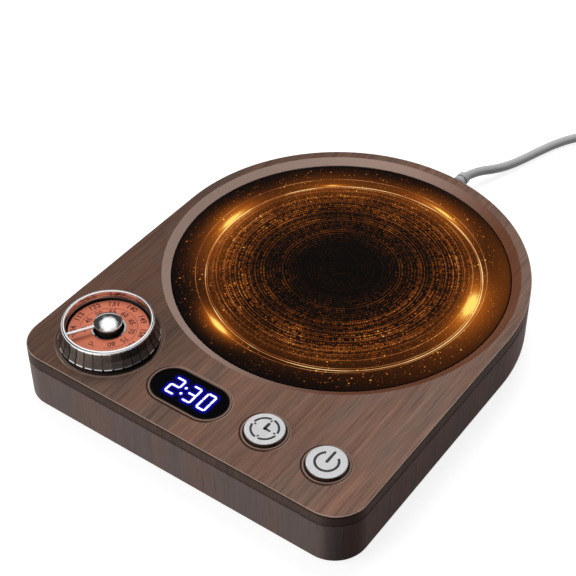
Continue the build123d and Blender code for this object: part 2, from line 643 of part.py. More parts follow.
def heater_bracket():
    """Pressed steel tray with three leaves that screw up under the ledge."""
    tray = disc(BRACKET_R, Z_BRACKET, Z_PAD + BRACKET_LIP, PLATE)
    tray -= disc(LIP_INNER_R, Z_PAD, Z_PAD + BRACKET_LIP, PLATE)
    for angle in BRACKET_ANGLES:
        tip = polar(PLATE, BRACKET_SCREW_R, angle)
        reach = BRACKET_SCREW_R - PAD_R / 2
        leaf = Pos(-reach / 2, 0, 0) * Box(reach, ARM_LEAF_WIDTH, BRACKET_THICK, align=UP)
        tray += Pos(tip[0], tip[1], Z_BRACKET) * Rot(0, 0, angle) * leaf
        tray += disc(ARM_LEAF_WIDTH / 2 - DISH_WALL, Z_BRACKET, Z_PAD, tip)
        tray -= disc(SMALL_SCREW_R + HOLE_CLEARANCE, Z_BRACKET, Z_PAD, tip)
    return tray - stack_cuts(Z_BRACKET, Z_PAD + BRACKET_LIP, MICA_R)


def bracket_screws():
    """Three small screws through the bracket's leaves."""
    spots = [polar(PLATE, BRACKET_SCREW_R, angle) for angle in BRACKET_ANGLES]
    length = BRACKET_THICK + SMALL_SCREW_LENGTH - SLIP_FIT
    return group(screw(at, Z_BRACKET, SMALL_HEAD_R, SMALL_HEAD, SMALL_SCREW_R, length) for at in spots)


def temperature_sensor():
    """Thermistor bead in its metal cup, pressed against the spreader."""
    cup = disc(SENSOR_R, Z_SPREADER - SENSOR_HEIGHT, Z_SPREADER, PLATE)
    return chamfer(cup.faces().sort_by(Axis.Z)[0].edges(), SENSOR_CLEARANCE)


def sensor_holder():
    """Flanged plug that carries the sensor through the bracket."""
    plug = disc(SENSOR_HOLE_R - SLIP_FIT, Z_BRACKET, Z_SPREADER - SENSOR_HEIGHT, PLATE)
    plug += disc(HOLDER_FLANGE_R, Z_BRACKET - HOLDER_FLANGE_THICK, Z_BRACKET, PLATE)
    bore = SENSOR_R / 2
    return plug - disc(bore, Z_BRACKET - HOLDER_FLANGE_THICK, Z_SPREADER - SENSOR_HEIGHT, PLATE)


# leads inside the body
HEATER_LEAD_Z = Z_BRACKET - FUSE_R - 0.1
HEATER_TAB = (ELEMENT_OUTER_R, (ELEMENT_GAP + ELEMENT_TRACK) / 2)
LEAD_ENTRY_Z = Z_POWER_TOP + TERMINAL_SIZE[2] / 3
LEAD_RUN_X = (HEATER_TAB[0] + LEAD_STEP, HEATER_TAB[0] - LEAD_STEP)
FUSE_Y = PLATE_Y - HEATER_TAB[1] - FUSE_FROM_TAB - FUSE_LENGTH / 2


def heater_leads():
    """Two silicone leads from the element's tabs to the terminal block."""
    leads = []
    for row, run_x in zip((1, -1), LEAD_RUN_X):
        tab_y = PLATE_Y + row * HEATER_TAB[1]
        points = [
            (HEATER_TAB[0], tab_y, Z_ELEMENT), (HEATER_TAB[0], tab_y, HEATER_LEAD_Z + LEAD_R / 2),
            (run_x, tab_y - 2 * LEAD_STEP, HEATER_LEAD_Z), (run_x, FUSE_Y - FUSE_LENGTH, HEATER_LEAD_Z),
            (run_x, TERMINAL[1] + TERMINAL_SIZE[1] / 2 + LEAD_END_GAP, LEAD_ENTRY_Z),
        ]
        leads.append(tube(points, [LEAD_BEND, LEAD_BEND, 3 * LEAD_BEND], LEAD_R)[0])
    return group(leads)


def thermal_fuse():
    """Axial thermal fuse, threaded on one heater lead under the bracket."""
    half = FUSE_LENGTH / 2
    body = along_y(FUSE_R, FUSE_Y - half, FUSE_Y + half, HEATER_LEAD_Z, LEAD_RUN_X[1])
    return body - along_y(LEAD_R + SLIP_FIT, FUSE_Y - half, FUSE_Y + half, HEATER_LEAD_Z, LEAD_RUN_X[1])


def sensor_leads():
    """Two thin leads from the sensor down to the power board."""
    radius = LEAD_R / 2
    run_z = Z_POWER_TOP + radius + SLIP_FIT
    leads = []
    for side in (-1, 1):
        x = side * 2 * radius
        points = [
            (x, PLATE_Y, Z_SPREADER - SENSOR_HEIGHT), (x, PLATE_Y, run_z),
            (POWER_BOARD[0] + CAN_AT[0] - CAN_R + x, POWER_BOARD_BACK - 2 * LEAD_R, run_z),
        ]
        leads.append(tube(points, [SENSOR_LEAD_BEND], radius)[0])
    return group(leads)


def mains_leads():
    """Two cores of the cord, run over the floor to the terminal block."""
    floor_z = Z_FLOOR + 2 * LEAD_R
    leads = []
    for side in (-1, 1):
        start_x = side * (LEAD_R + LEAD_END_GAP / 2)
        end_x = TERMINAL[0] - TERMINAL_SIZE[0] / 3 + side * LEAD_PITCH / 2
        points = [
            (start_x, INNER_CORD_END_Y - LEAD_END_GAP, CORD_EXIT_Z),
            (start_x, INNER_CORD_END_Y - MAINS_LEAD_DROP, floor_z),
            (end_x, POWER_BOARD_BACK + MAINS_LEAD_CLIMB, floor_z),
            (end_x, TERMINAL[1] + TERMINAL_SIZE[1] / 2 + LEAD_END_GAP, LEAD_ENTRY_Z),
        ]
        leads.append(tube(points, [4 * LEAD_BEND, 4 * LEAD_BEND], LEAD_R)[0])
    return group(leads)


# ---------------------------------------------------------------- boards and what is on them
def control_board():
    """Board that carries the encoder, display and switches, hung from the cover."""
    length = BODY_WIDTH - 2 * CONTROL_BOARD_END
    middle_y = (CONTROL_FRONT + CONTROL_BACK) / 2
    board = block(length, CONTROL_BOARD_WIDTH, Z_CONTROL, Z_CONTROL_TOP, (0, middle_y))
    holes = [disc(SMALL_SCREW_R + HOLE_CLEARANCE, Z_CONTROL, Z_CONTROL_TOP, at) for at in CONTROL_BOSSES]
    return board - holes


def control_board_screws():
    """Four small screws that hold the control board to the cover's bosses."""
    length = BOARD_THICK + SMALL_SCREW_LENGTH - SLIP_FIT
    return group(screw(at, Z_CONTROL, SMALL_HEAD_R, SMALL_HEAD, SMALL_SCREW_R, length)
                 for at in CONTROL_BOSSES)


def display_module():
    """Light block of the display, soldered to the control board."""
    body = block(MODULE_LENGTH, MODULE_WIDTH, Z_CONTROL_TOP, Z_MODULE_TOP, DISPLAY)
    return chamfer(body.edges().filter_by(Axis.Z), MODULE_CORNER)


def display_lens():
    """Smoked window, let into the cover on its ledge."""
    return raise_face(pill(-SLIP_FIT), Z_LENS, Z_LENS_TOP)


def display_trim():
    """Thin rim round the window, standing a little proud."""
    rim = raise_face(pill(DISPLAY_TRIM - SLIP_FIT) - pill(), Z_LENS, Z_TOP + DISPLAY_TRIM_RISE)
    return chamfer(rim.faces().sort_by(Axis.Z)[-1].outer_wire().edges(), DISPLAY_TRIM_RISE)


def power_board():
    """Supply board on the floor's standoffs."""
    board = block(*POWER_BOARD_SIZE, Z_POWER, Z_POWER_TOP, POWER_BOARD)
    return board - [disc(SMALL_SCREW_R + HOLE_CLEARANCE, Z_POWER, Z_POWER_TOP, at) for at in STANDOFFS]


def power_board_screws():
    """Four small screws down into the floor's standoffs."""
    length = SMALL_SCREW_LENGTH - SLIP_FIT
    return group(screw(at, Z_POWER_TOP, SMALL_HEAD_R, SMALL_HEAD, SMALL_SCREW_R, length, up=-1)
                 for at in STANDOFFS)


def terminal_block():
    """Four-way terminal block with a screw well over each way."""
    body = block(TERMINAL_SIZE[0], TERMINAL_SIZE[1], Z_POWER_TOP, Z_POWER_TOP + TERMINAL_SIZE[2], TERMINAL)
    ways = 4
    pitch = TERMINAL_SIZE[0] / ways
    top = Z_POWER_TOP + TERMINAL_SIZE[2]
    for i in range(ways):
        x = TERMINAL[0] + (i - (ways - 1) / 2) * pitch
        body -= disc(pitch / 3, top - 2.0, top, (x, TERMINAL[1]))
    return body


def triac():
    """Flat power switch with its metal tab."""
    size_x, size_y, height = TRIAC_SIZE
    tab_length = size_y / 3
    x, y = on_power_board(TRIAC_AT)
    body = block(size_x, size_y - tab_length, Z_POWER_TOP, Z_POWER_TOP + height, (x, y - tab_length / 2))
    tab_at = (x, y + (size_y - tab_length) / 2)
    tab = block(size_x, tab_length, Z_POWER_TOP, Z_POWER_TOP + height / 3, tab_at)
    return body + tab - disc(tab_length / 3, Z_POWER_TOP, Z_POWER_TOP + height, tab_at)


def film_capacitor():
    """Box-cased film capacitor."""
    at = on_power_board(FILM_CAP_AT)
    body = block(FILM_CAP_SIZE[0], FILM_CAP_SIZE[1], Z_POWER_TOP, Z_POWER_TOP + FILM_CAP_SIZE[2], at)
    return chamfer(body.faces().sort_by(Axis.Z)[-1].edges(), FILM_CAP_EDGE)


def reservoir_capacitor():
    """Electrolytic can standing on the power board, with its crimp groove."""
    at = on_power_board(CAN_AT)
    can = disc(CAN_R, Z_POWER_TOP, Z_POWER_TOP + CAN_HEIGHT, at)
    height, depth = CAN_GROOVE
    z0 = Z_POWER_TOP + CAN_HEIGHT / 5
    return can - (disc(CAN_R, z0, z0 + height, at) - disc(CAN_R - depth, z0, z0 + height, at))


def mains_fuse():
    """Cartridge fuse lying on the power board, with two end caps."""
    x, y = on_power_board(FUSE_BODY_AT)
    z = Z_POWER_TOP + FUSE_BODY_R
    half = FUSE_BODY_LENGTH / 2
    cap, step = FUSE_CAP
    body = along_y(FUSE_BODY_R - step, y - half, y + half, z, x)
    for end in (y - half, y + half - cap):
        body += along_y(FUSE_BODY_R, end, end + cap, z, x)
    return body


def board_header():
    """Pin header that joins the two boards."""
    return block(HEADER_SIZE[0], HEADER_SIZE[1], Z_POWER_TOP, Z_CONTROL, on_power_board(HEADER_AT))


# ---------------------------------------------------------------- dial
def dial_seat():
    """Black seat: flange in the well, tower inside the ring, spigot through the cover."""
    seat = disc(SEAT_FLANGE_R, Z_WELL, Z_SEAT_FLANGE, DIAL)
    seat += disc(TOWER_R, Z_SEAT_FLANGE, Z_SCALE, DIAL)
    seat += disc(SEAT_SPIGOT_R, Z_ENCODER_TOP, Z_WELL, DIAL)
    seat -= disc(SEAT_BORE_R, Z_ENCODER_TOP + SEAT_WEB, Z_SCALE, DIAL)
    return seat - disc(BUSHING_R + SLIP_FIT, Z_ENCODER_TOP, Z_ENCODER_TOP + SEAT_WEB, DIAL)


def dial_face():
    """Scale disc, fixed on the seat's tower."""
    lip_top = Z_SCALE_TOP + SCALE_LIP_RISE
    face = disc(SCALE_R, Z_SCALE, Z_SCALE_TOP, DIAL)
    face += disc(SCALE_HOLE_R + SCALE_LIP, Z_SCALE_TOP, lip_top, DIAL)
    return face - disc(SCALE_HOLE_R, Z_SCALE, lip_top, DIAL)


def encoder_body():
    """Rotary encoder with its threaded bushing and the shaft's bore."""
    body = block(ENCODER_SIZE, ENCODER_SIZE, Z_CONTROL_TOP, Z_ENCODER_TOP, DIAL)
    body = chamfer(body.edges().filter_by(Axis.Z), 1.0)
    body += disc(BUSHING_R, Z_ENCODER_TOP, Z_BUSHING_TOP, DIAL)
    return body - disc(SHAFT_R + RUNNING_FIT, Z_CONTROL_TOP + SHAFT_END_GAP, Z_BUSHING_TOP, DIAL)


def encoder_nut():
    """Hexagon nut that clamps the encoder to the seat's web."""
    z0 = Z_ENCODER_TOP + SEAT_WEB
    hexagon = RegularPolygon(NUT_ACROSS / 2, 6, major_radius=False)
    nut = raise_face(Pos(*DIAL) * hexagon, z0, z0 + NUT_THICK)
    return nut - disc(BUSHING_R + SLIP_FIT, z0, z0 + NUT_THICK, DIAL)


def ring_outline():
    """Radius and height of each line round the flutes, from their lower edge up."""
    z_lip = Z_TOP + RING_LIP_LIFT
    return [
        (RING_LIP_R, z_lip), (RING_LIP_R - RING_LIP_LEAN, z_lip + RING_LIP_HEIGHT),
        (RING_WAIST_R, Z_RING_TOP - RING_WAIST_DROP), (RING_TOP_R, Z_RING_TOP - RING_BAND),
    ]


def flute_groove():
    """Cutter of one groove: it follows the flutes' slopes at a steady depth."""
    corner = 1 / math.cos(math.pi / RING_FLUTES)
    outline = ring_outline()
    inner = [(r * corner - FLUTE_DEPTH, z) for r, z in outline]
    outer = [(2 * RING_LIP_R, outline[-1][1]), (2 * RING_LIP_R, outline[0][1])]
    face = make_face(Plane.XZ * Polyline(*inner, *outer, close=True))
    return extrude(face, FLUTE_WIDTH / 2, both=True)


def knob_ring():
    """Turned ring: rounded band on top, two-sloped flutes parted by grooves, plain foot."""
    outline = ring_outline()
    z_foot, z_lip, z_band = Z_TOP + RING_LIFT, outline[0][1], outline[-1][1]
    rows = [Pos(0, 0, z) * RegularPolygon(r, RING_FLUTES, major_radius=False) for r, z in outline]
    flutes = loft([row.face() for row in rows], ruled=True)
    groove = flute_groove()
    flutes -= [spot * groove for spot in PolarLocations(0, RING_FLUTES).locations]
    band = disc(RING_TOP_R, z_band, Z_RING_TOP)
    band = fillet(band.faces().sort_by(Axis.Z)[-1].edges(), RING_BAND * 0.8)
    ring = flutes + band + disc(RING_FOOT_R, z_foot, z_lip) - disc(RING_BORE_R, z_foot, Z_RING_TOP)
    top = ring.edges().filter_by(GeomType.CIRCLE).group_by(Axis.Z)[-1]
    ring = Pos(*DIAL) * fillet(top.sort_by(SortBy.RADIUS)[0], (RING_TOP_R - RING_BORE_R) / 4)
    return ring - pointer_key(HUB_R, SLIP_FIT)


def pointer_bar(start_r, end_r, z0, z1, grow=0.0):
    """Bar from one radius to another at the pointer's angle."""
    bar = block(end_r - start_r, POINTER_WIDTH + 2 * grow, z0, z1, ((start_r + end_r) / 2, 0))
    return Pos(*DIAL) * Rot(0, 0, POINTER_ANGLE) * bar


def pointer_key(start_r, grow=0.0):
    """Bar from a radius out into the ring's wall."""
    end_r = RING_BORE_R + POINTER_KEY + grow
    return pointer_bar(start_r, end_r, Z_POINTER - grow, Z_POINTER_TOP + grow, grow)


def pointer_arm():
    """Pointer: an eye clamped under the hub, with one bar out to the ring."""
    eye = disc(NECK_R, Z_POINTER, Z_POINTER_TOP, DIAL)
    arm = eye + pointer_key(NECK_R / 2)
    return arm - disc(STUD_R + SLIP_FIT, Z_POINTER, Z_POINTER_TOP, DIAL)


def hub_cap():
    """Domed cap whose skirt closes over the pointer's eye, with a stud down into the neck."""
    z_rim = Z_POINTER_TOP + HUB_RIM_LIFT
    z_skirt = z_rim - HUB_SKIRT_DROP
    dome_r = (HUB_R ** 2 + HUB_CROWN ** 2) / (2 * HUB_CROWN)
    dome = Pos(DIAL[0], DIAL[1], z_rim + HUB_CROWN - dome_r) * Sphere(dome_r)
    cap = disc(HUB_R, z_rim, z_rim + 2 * HUB_CROWN, DIAL) & dome
    cap += taper(HUB_SKIRT_R, HUB_R, z_skirt, z_rim, DIAL)
    rim = cap.edges().filter_by(GeomType.CIRCLE).filter_by_position(Axis.Z, z_rim - 0.01, z_rim + 0.01)
    cap = fillet(rim, HUB_ROUND)
    cap -= disc(NECK_R + SLIP_FIT, z_skirt, Z_POINTER_TOP, DIAL)
    cap -= pointer_bar(NECK_R / 2, HUB_R, z_skirt, Z_POINTER_TOP, SLIP_FIT)
    return cap + disc(STUD_R, Z_POINTER - STUD_LENGTH, Z_POINTER_TOP, DIAL)


def dial_shaft():
    """Shaft that turns in the encoder, with the wide neck that carries the pointer."""
    shaft = disc(SHAFT_R, Z_CONTROL_TOP + 2 * SHAFT_END_GAP, Z_NECK, DIAL)
    shaft += disc(NECK_R, Z_NECK, Z_POINTER, DIAL)
    return shaft - disc(STUD_R + SLIP_FIT, Z_POINTER - STUD_LENGTH - SLIP_FIT, Z_POINTER, DIAL)


# ---------------------------------------------------------------- buttons
def button_cap(at):
    """Metal cap: a shallow cup, upside down, with a rounded top edge."""
    top = Z_TOP + BUTTON_RISE
    cap = disc(BUTTON_R, Z_TOP - BUTTON_SKIRT, top, at)
    cap = fillet(cap.faces().sort_by(Axis.Z)[-1].edges(), BUTTON_EDGE)
    return cap - disc(BUTTON_R - BUTTON_WALL, Z_TOP - BUTTON_SKIRT, top - BUTTON_CROWN, at)


def button_stem(at):
    """Plastic stem that fills the cap, with a flange that stops it under the sleeve."""
    stem = disc(BUTTON_R - BUTTON_WALL - SLIP_FIT, Z_STEM_FLANGE, Z_TOP + BUTTON_RISE - BUTTON_CROWN, at)
    return stem + disc(BUTTON_HOLE_R + FLANGE_OVERLAP, Z_ACTUATOR_TOP, Z_STEM_FLANGE, at)


def button_trim(at):
    """Thin rim round a button, let into the cover."""
    z0, z1 = Z_TOP - TRIM_DEPTH, Z_TOP + BUTTON_TRIM_RISE
    rim = disc(BUTTON_TRIM_R - SLIP_FIT, z0, z1, at)
    rim = chamfer(rim.faces().sort_by(Axis.Z)[-1].edges(), BUTTON_TRIM_RISE)
    return rim - disc(BUTTON_HOLE_R, z0, z1, at)


def switch_body(at):
    """Tact switch: a square body open at the top for its actuator."""
    body = block(SWITCH_SIZE, SWITCH_SIZE, Z_CONTROL_TOP, Z_SWITCH_TOP, at)
    body = chamfer(body.edges().filter_by(Axis.Z), 0.4)
    return body - disc(ACTUATOR_R + RUNNING_FIT, Z_SWITCH_TOP - 2 * BUTTON_TRAVEL, Z_SWITCH_TOP, at)


def switch_actuator(at):
    """The tact switch's own plunger, which goes down with the button."""
    z0 = Z_SWITCH_TOP - BUTTON_TRAVEL + 3 * RUNNING_FIT
    return disc(ACTUATOR_R, z0, Z_ACTUATOR_TOP, at)


# ---------------------------------------------------------------- cord and plug
def strain_relief():
    """Moulded gland: inner flange, neck through the wall and a ribbed, tapering tail."""
    inner = along_y(RELIEF_FLANGE_R, RELIEF_INNER_Y, INNER_PAD_Y, CORD_EXIT_Z)
    inner -= block(4 * RELIEF_FLANGE_R, 4 * RELIEF_FLANGE_R, 0, Z_FLOOR + SLIP_FIT, (0, RELIEF_INNER_Y))
    gland = inner + along_y(RELIEF_NECK_R, INNER_PAD_Y, RELIEF_FACE_Y, CORD_EXIT_Z)
    gland += along_y(RELIEF_FLANGE_R, RELIEF_FACE_Y, RELIEF_FACE_Y + RELIEF_FLANGE, CORD_EXIT_Z)
    tail_y = RELIEF_FACE_Y + RELIEF_FLANGE
    tail_length = RELIEF_TIP_Y - tail_y
    tail = Rot(-90, 0, 0) * Cone(RELIEF_ROOT_R, RELIEF_TIP_R, tail_length, align=UP)
    gland += Pos(0, tail_y, CORD_EXIT_Z) * tail
    pitch = tail_length / (RELIEF_RINGS + 1)
    for i in range(1, RELIEF_RINGS + 1):
        y = tail_y + i * pitch
        cut = along_y(2 * RELIEF_ROOT_R, y - pitch / 6, y + pitch / 6, CORD_EXIT_Z)
        local_r = RELIEF_ROOT_R + (RELIEF_TIP_R - RELIEF_ROOT_R) * i / (RELIEF_RINGS + 1)
        cut -= along_y(local_r - 0.45, y - pitch / 6, y + pitch / 6, CORD_EXIT_Z)
        gland -= cut
    return gland


def inner_cord():
    """Sheathed cord from the gland to where its cores part."""
    return along_y(CORD_R - SLIP_FIT, INNER_CORD_END_Y, RELIEF_INNER_Y, CORD_EXIT_Z)


def cord_clamp():
    """Clamp bar over the cord, with a half-round groove."""
    top = CORD_EXIT_Z + CLAMP_SIZE[2]
    bar = block(CLAMP_SIZE[0], CLAMP_SIZE[1], CORD_EXIT_Z, top, (0, CLAMP_Y))
    bar = chamfer(bar.faces().sort_by(Axis.Z)[-1].edges().filter_by(Axis.Y), 0.8)
    bar -= along_y(CORD_R, CLAMP_Y - CLAMP_SIZE[1], CLAMP_Y + CLAMP_SIZE[1], CORD_EXIT_Z)
    holes = [disc(SMALL_SCREW_R + HOLE_CLEARANCE, CORD_EXIT_Z, top, (side * CLAMP_SCREW_X, CLAMP_Y))
             for side in (-1, 1)]
    return bar - holes


def clamp_screws():
    """Two small screws down through the clamp bar."""
    seat = CORD_EXIT_Z + CLAMP_SIZE[2]
    length = CLAMP_SIZE[2] + CORD_EXIT_Z - Z_FLOOR - SLIP_FIT
    return group(screw((side * CLAMP_SCREW_X, CLAMP_Y), seat, SMALL_HEAD_R, SMALL_HEAD,
                       SMALL_SCREW_R, length, up=-1) for side in (-1, 1))


def power_cord():
    """Free cord from the gland, down on to the table and round to the coil."""
    entry = polar(COIL_CENTRE, COIL_OUTER_TURN_R, COIL_ENTRY_ANGLE)
    end = (entry[0], entry[1], Z_COIL_FIRST_TURN)
    points = [(0.0, RELIEF_TIP_Y - RELIEF_BEDDING, CORD_EXIT_Z)] + CORD_ROUTE + [end]
    radii = bend_radii(points)
    cord, length = tube(points, radii, CORD_R)
    print("power_cord radii", [round(r, 1) for r in radii])
    print("power_cord volume over section x length", cord.volume / (math.pi * CORD_R ** 2 * length))
    print("power_cord length", length)
    return cord - strain_relief() - cord_coil()


def coil_section(grow):
    """Rounded square that the turns of the coil fill, grown by a margin."""
    side = 2 * (COIL_HALF + grow)
    square = RectangleRounded(side, side, 0.8 * CORD_R + grow)
    return Plane.XZ * Pos(COIL_MEAN_R, Z_COIL + COIL_HALF) * square


def cord_coil():
    """Outer shape of the wound-up length of cord."""
    return Pos(*COIL_CENTRE) * revolve(coil_section(0.0), Axis.Z, 360)


def coil_tie():
    """Band round the coil that keeps its turns together."""
    outer = revolve(coil_section(TIE_THICK), Axis.Z, 2 * TIE_HALF_ANGLE)
    inner = revolve(coil_section(0.0), Axis.Z, 2 * TIE_HALF_ANGLE)
    return Pos(*COIL_CENTRE) * Rot(0, 0, TIE_ANGLE) * (outer - inner)


def cord_tail():
    """Short stretch of cord from the coil to the plug."""
    x, y = TAIL_START
    run = TAIL_LENGTH / 3
    points = [
        (x, y, Z_COIL_TOP_TURN), (x + 0.3, y - run, Z_COIL_TOP_TURN - 0.5),
        (x, y - 2 * run, PLUG_Z), (x, PLUG_TIP_Y, PLUG_Z),
    ]
    radii = bend_radii(points)
    cord, length = tube(points, radii, CORD_R)
    print("cord_tail radii", [round(r, 1) for r in radii], "length", length)
    return cord - cord_coil()


def plug_body():
    """Moulded two-pin plug with its tapered relief, lying on the table."""
    x = TAIL_START[0]
    back_y = PLUG_TIP_Y - PLUG_RELIEF_LENGTH
    shell = block(PLUG_SIZE[0], PLUG_SIZE[1], 0, PLUG_SIZE[2], (x, back_y - PLUG_SIZE[1] / 2))
    shell = fillet(shell.edges().filter_by(Axis.Y), PLUG_EDGE)
    shell = chamfer(shell.faces().sort_by(Axis.Y)[-1].edges(), PLUG_EDGE / 2)
    relief = Rot(-90, 0, 0) * Cone(RELIEF_FLANGE_R, RELIEF_TIP_R, PLUG_RELIEF_LENGTH, align=UP)
    return shell + Pos(x, back_y, PLUG_Z) * relief


def plug_blades():
    """Two flat blades that stand out of the plug's face."""
    face_y = PLUG_TIP_Y - PLUG_RELIEF_LENGTH - PLUG_SIZE[1]
    blades = []
    for side in (-1, 1):
        at = (TAIL_START[0] + side * BLADE_SPACING / 2, face_y - BLADE_SIZE[1] / 2, PLUG_Z)
        blade = Pos(*at) * Box(*BLADE_SIZE)
        blade = chamfer(blade.faces().sort_by(Axis.Y)[0].edges().filter_by(Axis.Z), BLADE_SIZE[0] / 3)
        hole_y = face_y - BLADE_SIZE[1] * 0.75
        hole = Pos(at[0], hole_y, PLUG_Z) * Rot(0, 90, 0) * Cylinder(BLADE_SIZE[2] / 4, 2 * BLADE_SIZE[0])
        blades.append(blade - hole)
    return group(blades)


# ---------------------------------------------------------------- every sub-part
def sub_parts():
    """Node name and shape of every sub-part."""
    makers = [
        top_cover, lower_housing, rubber_feet, housing_screws, heater_glass, glass_gasket, heat_spreader,
        heating_element, mica_sheet, insulation_pad, heater_bracket, bracket_screws,
        temperature_sensor, sensor_holder, thermal_fuse, heater_leads, sensor_leads, mains_leads,
        control_board, control_board_screws, display_module, display_lens, display_trim,
        power_board, power_board_screws, terminal_block, triac, film_capacitor,
        reservoir_capacitor, mains_fuse, board_header, dial_seat, dial_face, encoder_body,
        encoder_nut, knob_ring, pointer_arm, hub_cap, dial_shaft, strain_relief, inner_cord,
        cord_clamp, clamp_screws, power_cord, cord_coil, coil_tie, cord_tail, plug_body, plug_blades,
    ]
    for maker in makers:
        yield maker.__name__, maker()
    pieces = {
        "button": button_cap, "stem": button_stem, "trim": button_trim,
        "switch": switch_body, "actuator": switch_actuator,
    }
    for name, at in BUTTONS.items():
        for piece, maker in pieces.items():
            yield name + "_" + piece, maker(at)


def main():
    os.makedirs("parts", exist_ok=True)
    for name, shape in sub_parts():
        export_step(shape, "parts/" + name + ".step")


if __name__ == "__main__":
    main()
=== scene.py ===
import functools
import math

import bmesh
import bpy
from mathutils import Matrix, Vector


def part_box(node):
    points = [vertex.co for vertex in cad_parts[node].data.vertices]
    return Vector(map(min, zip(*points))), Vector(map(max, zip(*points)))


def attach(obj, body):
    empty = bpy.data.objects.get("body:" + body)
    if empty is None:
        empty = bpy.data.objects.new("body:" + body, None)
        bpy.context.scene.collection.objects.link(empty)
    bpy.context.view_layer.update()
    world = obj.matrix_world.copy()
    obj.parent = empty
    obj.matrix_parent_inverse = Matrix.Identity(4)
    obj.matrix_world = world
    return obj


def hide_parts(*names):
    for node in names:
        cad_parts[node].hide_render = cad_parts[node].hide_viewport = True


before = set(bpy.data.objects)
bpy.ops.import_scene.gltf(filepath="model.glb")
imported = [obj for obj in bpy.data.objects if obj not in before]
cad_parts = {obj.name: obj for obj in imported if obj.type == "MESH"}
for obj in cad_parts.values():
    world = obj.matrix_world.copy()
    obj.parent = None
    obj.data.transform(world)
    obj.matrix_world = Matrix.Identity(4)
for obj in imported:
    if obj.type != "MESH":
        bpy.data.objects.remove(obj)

bl_info = {
    "name": "Mug Warmer",
    "version": (1, 0, 0),
    "blender": (4, 5, 0),
    "location": "3D View > Sidebar > Mug Warmer",
    "description": "Finishes, dial numbers, display, cord and studio of an electric mug warmer",
    "category": "Object",
}

MM = 0.001


def middle(node):
    """Middle of a node's box."""
    return sum(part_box(node), Vector()) / 2


# Places that the pieces below share, in metres, read from the frame.
DIAL = middle("knob_ring")
PLATE = middle("heater_glass")
LENS = middle("display_lens")
TIMER = middle("timer_button")
POWER = middle("power_button")
TRIMS = ("display_trim", "timer_trim", "power_trim")
LENS_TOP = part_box("display_lens")[1].z
CAP_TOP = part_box("timer_button")[1].z
TOP_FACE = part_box("top_cover")[1].z
RING_FOOT, RING_TOP = (corner.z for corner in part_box("knob_ring"))
SCALE_LIP = 0.12 * MM
SCALE_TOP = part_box("dial_face")[1].z - SCALE_LIP
RECESS_FOOT_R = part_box("heater_glass")[1].x

# Sizes of the cover and the dial that no box gives.
RECESS_TOP_R = 59.05 * MM
LAND_R = 60.5 * MM
WELL_R = 17.2 * MM
COVER_DEPTH = 4.0 * MM
RIM_WIDTH = 0.9 * MM
BORE_R = 13.4 * MM
FLUTE_R = 14.0 * MM
LIP_LOW, LIP_HIGH = RING_FOOT + 1.04 * MM, RING_FOOT + 1.42 * MM
FLUTES = 32

# The cord's route: its exit, its run over the floor, the turns of its coil and its tail.
CORD_EXIT = (0.0, 0.0961, 0.0062)
CORD_RUN = (
    (0.0013, 0.1030, 0.0052), (0.0048, 0.1099, 0.0033), (0.0079, 0.1171, 0.0022),
    (0.0106, 0.1254, 0.00185), (0.0132, 0.1338, 0.00175), (0.0165, 0.1422, 0.00175),
    (0.0213, 0.1501, 0.00175), (0.0280, 0.1568, 0.00175), (0.0366, 0.1614, 0.0018),
    (0.0462, 0.1623, 0.0019), (0.0553, 0.1598, 0.00205), (0.0633, 0.1561, 0.0022),
    (0.0704, 0.1520, 0.0023),
)
COIL_CENTRE = (0.064, 0.128)
COIL_ENTRY = 56.0
COIL_CELLS = (
    (0.0234, 0.0023), (0.0200, 0.0023), (0.0166, 0.0023), (0.0166, 0.0057), (0.0166, 0.0091),
    (0.0200, 0.0091), (0.0200, 0.0057), (0.0234, 0.0057), (0.0234, 0.0091),
)
CORD_TAIL = (
    (0.0872, 0.1280, 0.0091), (0.0875, 0.12117, 0.0084), (0.0872, 0.11433, 0.0072), (0.0872, 0.1075, 0.0072),
)

# Level way to the back, along which the chrome mirrors an arch of light.
REAR = (-0.766, 0.643, 0.0)

# Numbers of the dial's scale: outer row, inner row, angle round the dial.
SCALE_NUMBERS = [(str(104 + 9 * i), str(40 + 5 * i), 221 - 33 * i) for i in range(9)]


# Settings

def srgb(r, g, b):
    """Linear colour of an 8-bit one."""
    return tuple(c / 255 / 12.92 if c <= 10 else ((c / 255 + 0.055) / 1.055) ** 2.4 for c in (r, g, b))


def tone(name, description, default):
    """A colour that a user may change."""
    return bpy.props.FloatVectorProperty(
        name=name, description=description, default=default, subtype="COLOR", size=3)


def measure(name, description, default, unit="LENGTH"):
    """A number with a unit that a user may change."""
    return bpy.props.FloatProperty(name=name, description=description, default=default, unit=unit)


